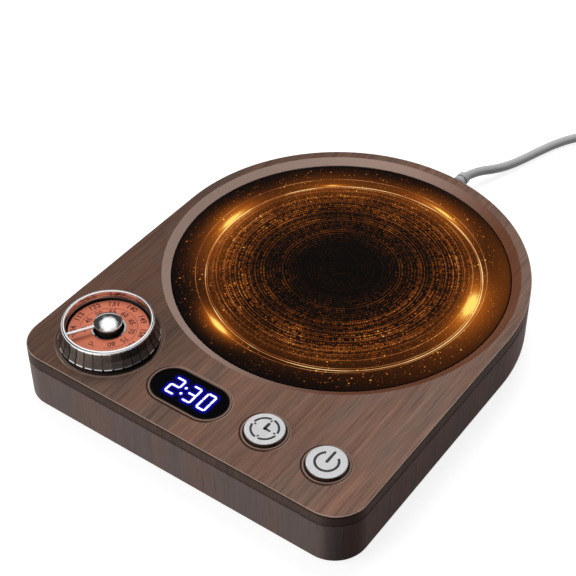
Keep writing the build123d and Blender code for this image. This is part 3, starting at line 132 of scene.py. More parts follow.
class WarmerFinishes(bpy.types.PropertyGroup):
    wood_light: tone("Cover, Light Grain", "Lighter streaks of the cover's wood film", srgb(139, 108, 94))
    wood_dark: tone("Cover, Dark Grain", "Darker streaks of the cover's wood film", srgb(97, 78, 69))
    wood_pore: tone("Pores", "Thin dark pores of the wood film", srgb(66, 46, 40))
    band: tone("Cover's Edge", "Darker film on the cover's upright edge", srgb(94, 77, 70))
    base_light: tone(
        "Housing, Light Grain", "Lighter streaks of the housing's wood film", srgb(128, 109, 104))
    base_dark: tone("Housing, Dark Grain", "Darker streaks of the housing's wood film", srgb(110, 97, 93))
    chrome: tone("Chrome", "Plating of the dial's ring, hub and pointer", (0.93, 0.93, 0.94))
    # Painted shade and reflection: this tone darkens the ring's flutes, lip, foot and bore lines.
    chrome_shade: tone("Chrome, Flutes", "Darker plating between the ring's flutes", (0.100, 0.068, 0.052))
    copper: tone("Scale", "Copper-coloured scale of the dial", srgb(216, 122, 92))
    print_ink: tone("Scale Numbers", "Ink of the dial's numbers", srgb(92, 44, 34))
    glass: tone("Plate Glass", "Black glass of the warming plate", (0.0022, 0.0016, 0.0013))
    ember: tone("Plate Glow, Deep", "Deep orange of the plate's printed glow", (1.0, 0.235, 0.016))
    spark: tone("Plate Glow, Bright", "Yellow of the plate's brightest rings", (1.0, 0.66, 0.13))
    cap_metal: tone("Button Caps", "Satin metal of the two caps", (0.74, 0.74, 0.75))
    cap_mark: tone("Button Marks", "Marks on the two caps", (0.03, 0.03, 0.031))
    digit_glow: tone("Display Glow", "Blue glow round the display's digits", (0.008, 0.006, 0.46))
    cord: tone("Cord", "Sheath of the mains cord", (0.53, 0.53, 0.535))


class WarmerMarks(bpy.types.PropertyGroup):
    outer_row: measure("Outer Row", "Radius of the scale's outer numbers", 10.8 * MM)
    inner_row: measure("Inner Row", "Radius of the scale's inner numbers", 7.35 * MM)
    number_height: measure("Number Height", "Height of the scale's numbers", 1.95 * MM)
    number_weight: measure("Number Weight", "How far the scale's numbers are thickened", 0.035 * MM)
    dividing_line: measure("Dividing Line", "Radius of the line between the two rows", 8.95 * MM)
    ink: measure("Ink", "Height of printed marks above what carries them", 0.03 * MM)
    digit_stroke: measure("Digit Stroke", "Width of the display's strokes", 0.62 * MM)
    digit_height: measure("Digit Height", "Height of the display's digits", 6.3 * MM)
    icon_line: measure("Icon Line", "Line width of the marks on the caps", 0.78 * MM)


class WarmerCord(bpy.types.PropertyGroup):
    diameter: measure("Diameter", "Diameter of the mains cord", 3.4 * MM)
    length: measure("Length", "Length of the cord from its strain relief to its plug", 1.15)
    turn_points: bpy.props.IntProperty(
        name="Points per Turn", description="Control points in each turn of the coil", default=16, min=12)


class WarmerStudio(bpy.types.PropertyGroup):
    overhead: measure("Overhead Lamp", "Power of the large lamp above and behind", 7.4, "POWER")
    front: measure("Front Lamp", "Power of the low lamp at the front left", 6.8, "POWER")
    ambient: measure("Ambient", "Strength of the even light from all round", 0.14, "NONE")
    floor_size: measure("Floor", "Width of the pale floor", 6.0)


# Shader helpers

class Signal:
    """A node's output; arithmetic on it adds nodes."""

    def __init__(self, socket):
        self.socket = socket
        self.tree = socket.id_data

    def calc(self, operation, other=0.0):
        """Output of a Math node."""
        return output(self.tree, "Math", {0: self, 1: other}, operation=operation)

    __add__ = functools.partialmethod(calc, "ADD")
    __sub__ = functools.partialmethod(calc, "SUBTRACT")
    __mul__ = functools.partialmethod(calc, "MULTIPLY")
    __truediv__ = functools.partialmethod(calc, "DIVIDE")

    def __rsub__(self, other):
        return output(self.tree, "Math", {0: other, 1: self}, operation="SUBTRACT")

    def vector(self, operation, other=(0, 0, 0), socket=0):
        """Output of a Vector Math node."""
        return output(self.tree, "VectorMath", {0: self, 1: other}, socket, operation=operation)

    def dot(self, way):
        """How far a vector reaches along a way."""
        return self.vector("DOT_PRODUCT", way, "Value")

    def length(self):
        """Length of a vector."""
        return self.vector("LENGTH", socket="Value")

    def radius(self):
        """Length of a vector seen from above."""
        return self.vector("MULTIPLY", (1, 1, 0)).length()

    def scaled(self, factor):
        """A vector or colour times a factor."""
        return output(self.tree, "VectorMath", {0: self, "Scale": factor}, operation="SCALE")

    def parts(self):
        """The three parts of a vector."""
        return tuple(signals(add(self.tree, "SeparateXYZ", {0: self})).values())


def set_up(thing, **settings):
    """Give a new thing its settings."""
    for key, value in settings.items():
        setattr(thing, key, value)
    return thing


def signals(node):
    """A node's named outputs."""
    return {socket.name: Signal(socket) for socket in node.outputs if socket.name}


def fill(node, inputs):
    """Link a node's inputs, by name or index, to signals or set them to values."""
    for key, value in inputs.items():
        socket = node.inputs[key]
        if isinstance(value, Signal):
            node.id_data.links.new(value.socket, socket)
        elif socket.type == "RGBA" and len(value) == 3:
            socket.default_value = (*value, 1.0)
        else:
            socket.default_value = value


def add(tree, kind, inputs=None, **settings):
    """A new shader node with its settings and inputs."""
    node = set_up(tree.nodes.new("ShaderNode" + kind), **settings)
    fill(node, inputs or {})
    return node


def output(tree, kind, inputs=None, socket=0, **settings):
    """One output of a new node."""
    return Signal(add(tree, kind, inputs, **settings).outputs[socket])


def gather(operation, several):
    """Several signals made one by a Math operation."""
    return functools.reduce(lambda first, second: first.calc(operation, second), several)


def fade(value, low, high, bottom=0.0, top=1.0):
    """A smooth step from bottom to top as value goes from low to high."""
    return output(value.tree, "MapRange", {
        "Value": value, "From Min": low, "From Max": high, "To Min": bottom, "To Max": top,
    }, interpolation_type="SMOOTHSTEP")


def band(value, low, high, soft):
    """1 where value lies between low and high, with soft flanks."""
    return fade(value, low - soft, low + soft) - fade(value, high - soft, high + soft)


def blend(factor, a, b, mode="MIX"):
    """Colour output of a Mix node."""
    tree = next(given.tree for given in (factor, a, b) if isinstance(given, Signal))
    return output(tree, "Mix", {"Factor": factor, 6: a, 7: b}, 2, data_type="RGBA", blend_type=mode)


def layered(colour, *layers):
    """A colour with others laid over it, each by its own mask."""
    for mask, over in layers:
        colour = blend(mask, colour, over)
    return colour


def times(colour, factor):
    """A plain colour, darker or lighter."""
    return tuple(factor * c for c in colour)


def here(tree, centre=(0, 0, 0), scale=(1, 1, 1)):
    """Object coordinates counted from a centre, then stretched."""
    return output(tree, "TexCoord", socket="Object").vector("SUBTRACT", centre).vector("MULTIPLY", scale)


def facing(tree):
    """Way that the surface faces."""
    return output(tree, "NewGeometry", socket="Normal")


def joined(x, y=0.0, z=0.0):
    """A vector of three parts."""
    return output(x.tree, "CombineXYZ", {0: x, 1: y, 2: z})


def noise(vector, scale=1.0, detail=2.0, roughness=0.5):
    """Value output of a Noise texture."""
    return output(vector.tree, "TexNoise", {
        "Vector": vector, "Scale": scale, "Detail": detail, "Roughness": roughness}, "Fac")


def luck(cell, key="W", dimensions="1D"):
    """A random value for each whole number, or for each cell of a plane."""
    return output(cell.tree, "TexWhiteNoise", {key: cell}, "Value", noise_dimensions=dimensions)


def bump(height, distance, strength=1.0):
    """Normal output of a Bump node."""
    return output(height.tree, "Bump", {"Height": height, "Distance": distance, "Strength": strength})


def new_finish(name):
    """A material with nodes, and its node tree."""
    material = set_up(bpy.data.materials.new(name), use_nodes=True)
    return material, material.node_tree


def coat(tree, colour, roughness=0.5, **others):
    """Give a material's Principled shader its values; underscores stand for the spaces in their names."""
    fill(tree.nodes["Principled BSDF"], {
        "Base Color": colour, "Roughness": roughness,
        **{key.replace("_", " "): value for key, value in others.items()}})


def group(name, inputs, outputs):
    """A new node group: its tree, its inputs as signals and its output node."""
    tree = bpy.data.node_groups.new(name, "ShaderNodeTree")
    for label, default in inputs.items():
        kind = "Float" if isinstance(default, float) else "Vector" if len(default) == 3 else "Color"
        socket = tree.interface.new_socket(label, in_out="INPUT", socket_type="NodeSocket" + kind)
        socket.default_value = default
    for label in outputs:
        kind = "Color" if label == "Color" else "Float"
        tree.interface.new_socket(label, in_out="OUTPUT", socket_type="NodeSocket" + kind)
    return tree, signals(tree.nodes.new("NodeGroupInput")), tree.nodes.new("NodeGroupOutput")


def use(tree, name, inputs):
    """Outputs of a node group placed in a material."""
    return signals(add(tree, "Group", inputs, node_tree=bpy.data.node_groups[name]))


def make_wood_grain():
    """Streaks along Y on top and upright on walls, with slow changes of hue and thin pores."""
    tree, given, result = group("Wood Grain", {
        "Light": (0.2, 0.2, 0.2, 1), "Dark": (0.1, 0.1, 0.1, 1), "Pore": (0.05, 0.05, 0.05, 1),
        "Contrast": 1.0}, ("Color", "Height", "Gloss"))
    on_top = fade(facing(tree).parts()[2].calc("ABSOLUTE"), 0.45, 0.75)
    sway = noise(here(tree, scale=(70.0, 24.0, 70.0))) * (0.7 * MM)
    flow = here(tree).vector("ADD", joined(sway))

    def streaks(across, along, detail):
        """Noise drawn out along the streaks."""
        top = flow.vector("MULTIPLY", (across, along, along))
        wall = here(tree, scale=(across, across, along))
        return noise(blend(on_top, wall, top), 1.0, detail, 0.6)

    broad, main, fine = streaks(330.0, 14.0, 2.0), streaks(1150.0, 36.0, 3.0), streaks(2700.0, 70.0, 2.0)
    mix = broad * 0.27 + main * 0.40 + fine * 0.33
    shade = output(tree, "Clamp", {0: (mix - 0.5) * (given["Contrast"] * 3.6) + 0.5})
    pores = fade(streaks(1900.0, 60.0, 1.0), 0.64, 0.76)
    cast = blend(fade(streaks(95.0, 26.0, 2.0), 0.36, 0.64), (0.92, 0.97, 1.0), (1.07, 0.98, 0.93))
    colour = blend(1.0, blend(shade, given["Dark"], given["Light"]), cast, "MULTIPLY")
    colour = blend(pores * 0.55, colour, given["Pore"])
    fill(result, {"Color": colour, "Height": shade - pores, "Gloss": shade * -0.08 + 0.06})


def make_moulded_grain():
    """Fine pebble and slow unevenness of moulded plastic, rubber and paint."""
    tree, given, result = group("Moulded Grain", {
        "Color": (0.1, 0.1, 0.1, 1), "Size": 900.0, "Mottle": 0.2, "Roughness": 0.5},
        ("Color", "Height", "Roughness"))
    fine = noise(here(tree), given["Size"], 3.0, 0.6)
    slow = noise(here(tree), given["Size"] * 0.06) - 0.5
    shade = (fine - 0.5) * given["Mottle"] + slow * given["Mottle"] + 1.0
    rough = slow * 0.16 + given["Roughness"]
    fill(result, {"Color": given["Color"].scaled(shade), "Height": fine, "Roughness": rough})


def make_brushed_metal():
    """Fine straight or turned brushing with slow unevenness."""
    tree, given, result = group("Brushed Metal", {
        "Color": (0.6, 0.6, 0.6, 1), "Centre": (0, 0, 0), "Turned": 0.0, "Size": 9000.0, "Roughness": 0.3},
        ("Color", "Height", "Roughness"))
    spot = here(tree).vector("SUBTRACT", given["Centre"])
    x, y, z = spot.parts()
    across = spot.radius() * given["Turned"] + y * (1.0 - given["Turned"])
    line = joined(across * given["Size"], x * 160.0, z * given["Size"])
    streak = noise(line, 1.0, 2.0, 0.6)
    slow = noise(spot, 130.0)
    fill(result, {
        "Color": given["Color"].scaled(streak * 0.22 + 0.84 + slow * 0.1), "Height": streak,
        "Roughness": (slow - 0.5) * 0.1 + ((streak - 0.5) * 0.12 + given["Roughness"])})


def grained(name, grain, inputs, depth, metallic):
    """A finish whose colour, roughness and relief come from one node group."""
    material, tree = new_finish(name)
    made = use(tree, grain, inputs)
    coat(tree, made["Color"], made["Roughness"], Normal=bump(made["Height"], depth), Metallic=metallic)
    return material


def plastic(name, colour, roughness=0.45, size=900.0, mottle=0.25, depth=0.02 * MM):
    """A moulded, painted or rubber finish."""
    inputs = {"Color": colour, "Size": size, "Mottle": mottle, "Roughness": roughness}
    return grained(name, "Moulded Grain", inputs, depth, 0.0)


def metal(name, colour, roughness):
    """A brushed metal finish."""
    return grained(name, "Brushed Metal", {"Color": colour, "Roughness": roughness}, 0.004 * MM, 1.0)


def from_trim(tree, node):
    """A trim's half height, a place's distance from its middle line, and how far to the front left."""
    low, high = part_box(node)
    edge = (high.y - low.y) / 2
    run = (high.x - low.x) / 2 - edge
    x, y, _ = here(tree, (low + high) / 2).parts()
    past = (x.calc("ABSOLUTE") - run).calc("MAXIMUM")
    away = (past * past + y * y).calc("SQRT")
    return edge, away, y * (-0.66 / edge) + past * x.calc("SIGN") * (-0.75 / edge)


def rim(node, colour):
    """A trim's finish: a painted shadow line outside, a light land and a painted shadow line inside."""
    material, tree = new_finish(node + "_bronze")
    edge, away, _ = from_trim(tree, node)
    # Painted shadow lines at the trim's outer and inner edges, round the light land.
    land = band(away, edge - 0.62 * RIM_WIDTH, edge - 0.22 * RIM_WIDTH, 0.07 * RIM_WIDTH)
    grain = use(tree, "Moulded Grain", {"Color": colour, "Size": 1500.0, "Mottle": 0.3, "Roughness": 0.3})
    coat(tree, blend(land, times(colour, 0.16), grain["Color"]), grain["Roughness"],
         Normal=bump(land, 0.03 * MM), Specular_IOR_Level=0.3)
    return material


def dress(material, *nodes):
    """Give CAD nodes a material."""
    for name in nodes:
        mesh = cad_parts[name].data
        mesh.materials.clear()
        mesh.materials.append(material)


# Pieces in general, and flat marks

def new_object(name, data):
    """A new object in the scene."""
    thing = bpy.data.objects.new(name, data)
    bpy.context.scene.collection.objects.link(thing)
    return thing


def from_bmesh(name, bm, material):
    """A new object with a bmesh's shape."""
    mesh = bpy.data.meshes.new(name)
    bm.to_mesh(mesh)
    bm.free()
    mesh.materials.append(material)
    return new_object(name, mesh)


def finish_piece(name, bm, material, body):
    """Make an object of a bmesh and let it ride on a body."""
    piece = from_bmesh(name, bm, material)
    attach(piece, body)


def around(centre, radius, degrees):
    """X and Y of a point round a centre; the angle counts from +X."""
    a = math.radians(degrees)
    return centre[0] + radius * math.cos(a), centre[1] + radius * math.sin(a)


def add_stroke(bm, start, end, width, height):
    """A flat stroke with rounded ends from one point to another."""
    start, end = Vector(start[:2]), Vector(end[:2])
    run = end - start
    verts = bmesh.ops.create_circle(bm, cap_ends=True, segments=16, radius=width / 2)["verts"]
    for v in verts:
        if v.co.x > 1e-9:
            v.co.x += run.length
    place = Matrix.Translation((*start, height)) @ Matrix.Rotation(math.atan2(run.y, run.x), 4, "Z")
    bmesh.ops.transform(bm, matrix=place, verts=verts)


def add_arc(bm, centre, radius, width, first, last, height, steps):
    """A flat arc; angles in degrees, counted from +X."""
    middle_point = (centre[0], centre[1], height)
    a = bm.verts.new((centre[0] + radius - width / 2, centre[1], height))
    b = bm.verts.new((centre[0] + radius + width / 2, centre[1], height))
    edge = bm.edges.new((a, b))
    start = Matrix.Rotation(math.radians(first), 3, "Z")
    bmesh.ops.rotate(bm, cent=middle_point, matrix=start, verts=(a, b))
    bmesh.ops.spin(bm, geom=[a, b, edge], cent=middle_point, axis=(0, 0, 1),
                   angle=math.radians(last - first), steps=steps)


def thicken(bm, depth):
    """Give flat marks a thin body below their face, and point every face outwards."""
    bmesh.ops.recalc_face_normals(bm, faces=bm.faces)
    made = bmesh.ops.extrude_face_region(bm, geom=list(bm.faces))
    low = [v for v in made["geom"] if isinstance(v, bmesh.types.BMVert)]
    bmesh.ops.translate(bm, vec=(0, 0, -depth), verts=low)
    bmesh.ops.recalc_face_normals(bm, faces=bm.faces)


def add_text(bm, body, size, place, weight):
    """Add flat lettering, centred on its place."""
    curve = set_up(bpy.data.curves.new("lettering", "FONT"), body=body, size=size, align_x="CENTER",
                   align_y="CENTER", resolution_u=3, offset=weight)
    source = bpy.data.objects.new("lettering", curve)
    mesh = bpy.data.meshes.new_from_object(source)
    mesh.transform(place)
    bm.from_mesh(mesh)
    bpy.data.objects.remove(source)
    bpy.data.curves.remove(curve)
    bpy.data.meshes.remove(mesh)


# Pieces

# Painted tones, from left to right, of the recess (a painted highlight, then painted shade) and of the
# painted highlight along the cover's top edge, and of the painted highlight and shadow round a trim, from
# lit to shaded.
RECESS_LIGHT_AND_SHADE = srgb(178, 152, 140), srgb(94, 50, 26)
EDGE_HIGHLIGHT = srgb(168, 145, 132), srgb(208, 182, 168)
GROOVE_SHADING = srgb(150, 126, 113), srgb(34, 19, 14)
# Painted light and shade in the dial's well: a painted light tone on the near side, painted shade on the far
# side, a lighter painted tone on the right, and a painted shadow on the floor under the ring.
WELL_NEAR_LIGHT, WELL_FAR_SHADE, WELL_RIGHT_LIGHT = srgb(228, 196, 178), srgb(64, 35, 26), srgb(156, 128, 113)
WELL_FLOOR_SHADOW = srgb(18, 13, 11)
# Painted shade: a tint for the right faces, and the way that the front right corner faces, which is painted
# darker.
RIGHT_SHADE_TINT = (1.05, 0.86, 0.82)
FRONT_RIGHT = (0.75, -0.66, 0)
# Painted light and shade across the cover: how light it is painted at its left and right sides, and where
# between them it is 1.
LEFT_SHADE, RIGHT_SHADE = 0.60, 1.20
SIDE_X, EVEN_X = 62 * MM, 20 * MM


def wood_film(name, look, light, dark, contrast, cover):
    """Wood film in two tones; the cover's has painted light and shade, lighter to the right, and edges of
    its own; right faces get a painted shade tint and the front right corner is painted darker.
    """
    material, tree = new_finish(name)
    grain = use(tree, "Wood Grain", {
        "Light": light, "Dark": dark, "Pore": look.wood_pore, "Contrast": contrast})
    colour = grain["Color"]
    if cover:
        x = here(tree).parts()[0]
        # Painted light and shade: the cover is painted darker to the left and lighter to the right.
        depth = fade(x, -SIDE_X, EVEN_X, LEFT_SHADE, 1.0) * fade(x, EVEN_X, SIDE_X, 1.0, RIGHT_SHADE)
        colour = cover_edges(tree, look, colour.scaled(depth))
    # Painted shade: a tint on the right faces and a darker front right corner.
    right = fade(facing(tree).parts()[0], 0.55, 0.90)
    corner = fade(facing(tree).dot(FRONT_RIGHT), 0.78, 0.97, 1.0, 0.60)
    coat(tree, blend(right, colour, RIGHT_SHADE_TINT, "MULTIPLY").scaled(corner), grain["Gloss"] + 0.46,
         Normal=bump(grain["Height"], 0.02 * MM, 0.5), Specular_IOR_Level=0.02)
    return material


def cover_edges(tree, look, colour):
    """The cover's upright edge with painted shadow under its top edge and at the seam, a painted highlight
    along its top edge, painted light and shade in the dial's well, painted shadow and highlight round the
    trims, and painted light and shade on the recess.
    """
    x, y, z = here(tree).parts()
    level = facing(tree).parts()[2]
    radius = here(tree, PLATE).radius()
    outside = fade(radius, LAND_R - 0.3 * MM, LAND_R + 0.3 * MM)
    knob = here(tree, DIAL).radius()
    well = fade(knob, WELL_R - 0.1 * MM, WELL_R + 0.1 * MM, 1.0, 0.0)
    grey = output(tree, "RGBToBW", {0: colour})
    seam = TOP_FACE - COVER_DEPTH
    below_top = fade(z, TOP_FACE - 1.1 * MM, TOP_FACE - 0.7 * MM, 0.0, 0.85)
    shadow = below_top.calc("MAXIMUM", fade(z, seam, seam + 0.3 * MM, 0.5, 0.0))
    upright = blend(fade(grey, 0.06, 0.16), times(look.band, 0.72), look.band)
    upright = blend(shadow, upright, times(look.band, 0.30))
    # Painted highlight along the cover's top edge, lighter to the right.
    edge_highlight = band(level, 0.50, 0.93, 0.04) * (outside - well)
    colour = layered(
        colour,
        (fade(level, 0.15, 0.35, 1.0, 0.0) * outside, upright),
        (edge_highlight * 0.85, blend(fade(x, 40 * MM, SIDE_X), *EDGE_HIGHLIGHT)),
        # Painted light and shade in the dial's well, and a painted shadow on its floor under the ring.
        (well * fade(y, DIAL.y - 6 * MM, DIAL.y + 2 * MM, 0.85, 0.0), WELL_NEAR_LIGHT),
        (well * fade(x, DIAL.x - 14 * MM, DIAL.x - 4 * MM, 0.85, 0.0), WELL_FAR_SHADE),
        (well * fade(x, DIAL.x + 2 * MM, DIAL.x + 10 * MM, 0.0, 0.55), WELL_RIGHT_LIGHT),
        (fade(knob, 15.4 * MM, 15.9 * MM, 0.9, 0.0), WELL_FLOOR_SHADOW))
    for node in TRIMS:
        edge, away, lean = from_trim(tree, node)
        # Painted shadow and highlight in a ring round each trim: dark towards the front left, light towards
        # the right.
        groove_shading = band(away, edge, edge + 0.42 * MM, 0.08 * MM)
        colour = blend(groove_shading * 0.85, colour, blend(fade(lean, -0.5, 0.2), *GROOVE_SHADING))
    # Painted light and shade on the recess slope: a painted highlight at the left, painted shade in rust
    # brown at the right.
    slope = band(radius, RECESS_FOOT_R - 0.1 * MM, RECESS_TOP_R, 0.1 * MM)
    return blend(slope * 0.8, colour, blend(fade(x, -25 * MM, 40 * MM), *RECESS_LIGHT_AND_SHADE))


class WARMER_OT_wood_shell(bpy.types.Operator):
    """Finish the cover and the lower housing as one wood-grained shell"""
    bl_idname = "warmer.wood_shell"
    bl_label = "Wood Shell"

    def execute(self, context):
        look = context.scene.warmer_finishes
        dress(wood_film("wood_cover", look, look.wood_light, look.wood_dark, 1.0, True), "top_cover")
        dress(wood_film("wood_base", look, look.base_light, look.base_dark, 0.85, False), "lower_housing")
        return {"FINISHED"}


# The print's sizes are in millimetres from the plate's centre, its angles in degrees.
# Circles of light: centre x, centre y, radius, half width, strength.
CIRCLES = (
    (1.7, -0.9, 45.6, 0.10, 1.25), (1.5, -0.6, 45.1, 0.08, 0.62), (0.0, 0.0, 48.1, 0.06, 0.72),
    (0.3, 0.4, 43.0, 0.05, 0.66), (-0.6, 0.3, 41.0, 0.05, 0.56), (0.0, 0.0, 38.6, 0.06, 0.68),
    (0.5, -0.3, 36.8, 0.05, 0.48), (-0.4, 0.2, 34.9, 0.05, 0.64), (0.2, 0.5, 32.8, 0.05, 0.40),
    (0.0, 0.0, 30.3, 0.05, 0.48), (-0.3, -0.3, 28.0, 0.05, 0.28), (0.3, -0.2, 25.8, 0.05, 0.32),
    (0.0, 0.0, 19.4, 0.05, 0.22),
)
# Flares that lie along the circles: angle, radius, half length, half width, strength.
FLARES = (
    (250, 47.9, 4.8, 0.95, 3.3), (181, 45.0, 6.0, 1.0, 2.3), (12, 44.9, 6.0, 1.7, 3.2),
    (74, 46.4, 7.0, 0.7, 1.9), (128, 44.6, 4.4, 0.6, 1.3),
)
# Warm haze: angle, radius, half length, half width, strength.
HAZES = (
    (196, 44.5, 19.0, 6.0, 0.15), (178, 46.0, 10.0, 4.0, 0.30), (249, 47.8, 9.0, 3.6, 0.22),
    (285, 44.0, 36.0, 6.0, 0.035), (10, 46.5, 16.0, 5.0, 0.32), (345, 50.5, 26.0, 8.0, 0.04),
    (75, 46.5, 18.0, 4.6, 0.24), (130, 45.0, 22.0, 5.5, 0.14), (30, 54.0, 26.0, 4.5, 0.09),
)
# Loose sparks: cells per millimetre, size in cells, share of dark cells, strength.
SPARKS = ((0.38, 0.15, 0.15, 0.90), (0.78, 0.22, 0.30, 0.60), (1.15, 0.26, 0.40, 0.36))
# Step from one ring of beads to the next, and from bead to bead.
BEAD_PITCH, BEAD_STEP = 1.04, 0.78
# Radii between which the beads come in and go out, the sparks lie, and the print ends.
BEADS_IN, BEADS_OUT, SPARKS_IN, PRINT_EDGE = (12.0, 37.0), (43.2, 44.4), (31.0, 54.0), (55.3, 56.1)
HOT_LINE = (1.0, 0.82, 0.55)


def print_circles(spot):
    """Thin circles, some a little off the plate's centre."""
    return gather("MAXIMUM", [
        band(spot.vector("SUBTRACT", (x, y, 0)).length(), r - half, r + half, 0.14) * strength
        for x, y, r, half, strength in CIRCLES])


def print_beads(spot, radius, drift):
    """Close rings of small dots, each with a brightness of its own."""
    x, y, _ = spot.parts()
    turn = y.calc("ARCTAN2", x) * (0.5 / math.pi) + 0.5
    ring = (radius / BEAD_PITCH).calc("FLOOR")
    centre_line = (ring + 0.5) * BEAD_PITCH
    along = turn * (centre_line * (2 * math.pi / BEAD_STEP)).calc("ROUND")
    bright = luck(joined(ring, along.calc("FLOOR")), "Vector", "2D").calc("POWER", 1.2)
    bright = bright * fade(luck(ring), 0.05, 0.9, 0.24, 0.74)
    away = joined((along.calc("FRACT") - 0.5) * BEAD_STEP, radius - centre_line).length()
    zone = fade(radius, *BEADS_IN, 0.03, 1.0) * fade(radius, *BEADS_OUT, 1.0, 0.0)
    return fade(away, 0.10, 0.38, 1.0, 0.05) * (bright * (zone * fade(drift, 0.34, 0.64, 0.45, 1.3)))


def print_sparks(spot, radius, drift):
    """Loose sparks in three sizes."""
    dots = []
    for scale, size, share, strength in SPARKS:
        cells = signals(add(spot.tree, "TexVoronoi", {"Vector": spot, "Scale": scale}))
        pick = fade(cells["Color"].parts()[0], share, share + 0.35, 0.0, strength)
        dots.append(fade(cells["Distance"], 0.3 * size, size, 1.0, 0.0) * pick)
    zone = band(radius, *SPARKS_IN, 1.5) * fade(drift, 0.36, 0.60, 0.45, 1.0)
    return gather("ADD", dots) * zone


def print_streaks(spot, radius, places, power, drop):
    """Soft lights drawn out along the circles."""
    found = []
    for degrees, r, length, width, strength in places:
        x, y = around((0, 0), 1, degrees)
        along = spot.dot((-y / length, x / length, 0))
        across = (radius - r) / width
        reach = along * along + across * across
        near_side = fade(spot.dot((x, y, 0)), 2.0, 12.0, 0.0, strength)
        found.append((reach.calc("POWER", power) * drop).calc("EXPONENT") * near_side)
    return gather("ADD", found)


class WARMER_OT_warming_plate(bpy.types.Operator):
    """Finish the glass plate with its printed rings drawn as painted glow, and its gasket"""
    bl_idname = "warmer.warming_plate"
    bl_label = "Warming Plate"

    def execute(self, context):
        look = context.scene.warmer_finishes
        material, tree = new_finish("glowing_glass")
        spot = here(tree, PLATE, (1 / MM, 1 / MM, 0))
        radius = spot.length()
        drift = noise(spot, 0.06)
        lines = print_circles(spot) * fade(drift, 0.38, 0.66, 0.4, 1.3)
        # Painted glow: the print's circles, beads, sparks, flares and haze shine as emission from the glass.
        light = gather("ADD", (
            lines, print_beads(spot, radius, drift), print_sparks(spot, radius, drift),
            print_streaks(spot, radius, FLARES, 0.5, -1.9),
            print_streaks(spot, radius, HAZES, 1.0, -1.0)))
        light = light * fade(radius, *PRINT_EDGE, 1.0, 0.0)
        tint = blend(fade(light, 0.30, 1.15), look.ember, look.spark)
        tint = blend(lines * 0.45, tint, HOT_LINE)
        smear = noise(here(tree), 60.0, 3.0)
        coat(tree, blend(smear, look.glass, times(look.glass, 1.8)), smear * 0.08 + 0.05,
             Specular_IOR_Level=0.015, Emission_Color=tint.scaled(light.calc("MINIMUM", 1.15)),
             Emission_Strength=1.0)
        dress(material, "heater_glass")
        dress(plastic("gasket_silicone", (0.03, 0.028, 0.027), 0.55), "glass_gasket")
        return {"FINISHED"}


# Size of a font's em over the height of its numbers.
EM = 1.38
# Signs of the two rows' units: text, row, way out from the row, angle round the dial.
UNITS = (("°F", "outer_row", -0.1 * MM, -128), ("°C", "inner_row", 0.9 * MM, -87))


def add_number(bm, marks, text, radius, degrees, share, height):
    """Print a number that stands towards the dial's rim, at its share of the full height."""
    turn = Matrix.Rotation(math.radians(degrees) - math.pi / 2, 4, "Z")
    place = Matrix.Translation((*around(DIAL, radius, degrees), height)) @ turn
    add_text(bm, text, share * marks.number_height * EM, place, marks.number_weight)


def chrome_colour(smear, look):
    """Colour of bright plating with a faint smear."""
    return blend(smear, times(look.chrome, 0.94), look.chrome)


def plating(name, look, rough, metallic):
    """Bright plating with a faint smear."""
    material, tree = new_finish(name)
    smear = noise(here(tree), 240.0, 3.0)
    coat(tree, chrome_colour(smear, look), smear * 0.05 + rough, Metallic=metallic)
    return material


def ring_plating(look):
    """The ring's plating with painted shade and reflection: dark flutes with painted reflections facet by
    facet, a lip painted dark but for painted glints, a painted shadow on the foot, and a duller bore with
    painted reflection lines and a painted shadow over the scale.
    """
    material, tree = new_finish("dial_ring_chrome")
    spot = here(tree, DIAL)
    x, y, _ = spot.parts()
    z = here(tree).parts()[2]
    radius = spot.radius()
    smear = noise(spot, 240.0, 3.0)
    outside = fade(radius, FLUTE_R, FLUTE_R + 0.25 * MM)
    flutes = band(z, LIP_HIGH, RING_TOP - 0.95 * MM, 0.05 * MM) * outside
    lip = band(z, LIP_LOW, LIP_HIGH, 0.04 * MM) * outside
    # Painted shadow on the ring's foot.
    foot = fade(z, LIP_LOW - 0.04 * MM, LIP_LOW + 0.04 * MM, 1.0, 0.0)
    bore = fade(radius, BORE_R - 0.05 * MM, BORE_R + 0.05 * MM, 1.0, 0.0)
    bore = bore * fade(z, RING_TOP - 0.5 * MM, RING_TOP - 0.4 * MM, 1.0, 0.0)
    # Painted shadow on the bore just above the scale.
    deep_shadow = bore * fade(z, SCALE_TOP + 0.3 * MM, SCALE_TOP + 0.6 * MM, 1.0, 0.0)
    bead = bore * band(z, SCALE_TOP + 0.7 * MM, SCALE_TOP + 1.05 * MM, 0.06 * MM)
    turn = y.calc("ARCTAN2", x) * (FLUTES / (2 * math.pi))
    facet = luck(turn.calc("FLOOR"))
    # The lip is painted dark except for painted glints, facet by facet.
    glint = band(turn.calc("FRACT"), 0.16, 0.90, 0.05) * fade(facet, 0.15, 0.6, 0.15, 1.0)
    # Painted reflection: each flute facet gets a brightness of its own.
    facet_reflection = facet * 0.9 + (noise(spot, 900.0) - 0.3) * 0.6
    # Painted reflection lines in the bore.
    ripple_reflection = bore * fade(noise(joined(turn * 0.35, z * 2600.0)), 0.47, 0.60, 0.0, 0.85)
    shade = look.chrome_shade
    colour = layered(
        chrome_colour(smear, look), (lip * (1.0 - glint), times(shade, 0.4)),
        (flutes, blend(facet_reflection, times(shade, 0.10), times(shade, 1.35))), (foot, times(shade, 0.12)),
        (ripple_reflection, times(shade, 0.5)), (deep_shadow, (0.060, 0.058, 0.060)))
    coat(tree, colour, smear * 0.05 + 0.07 + flutes * 0.22 + bore * 0.10 + bead * 0.45,
         Metallic=gather("MAXIMUM", (flutes, deep_shadow, lip)) * -0.6 + 1.0)
    return material


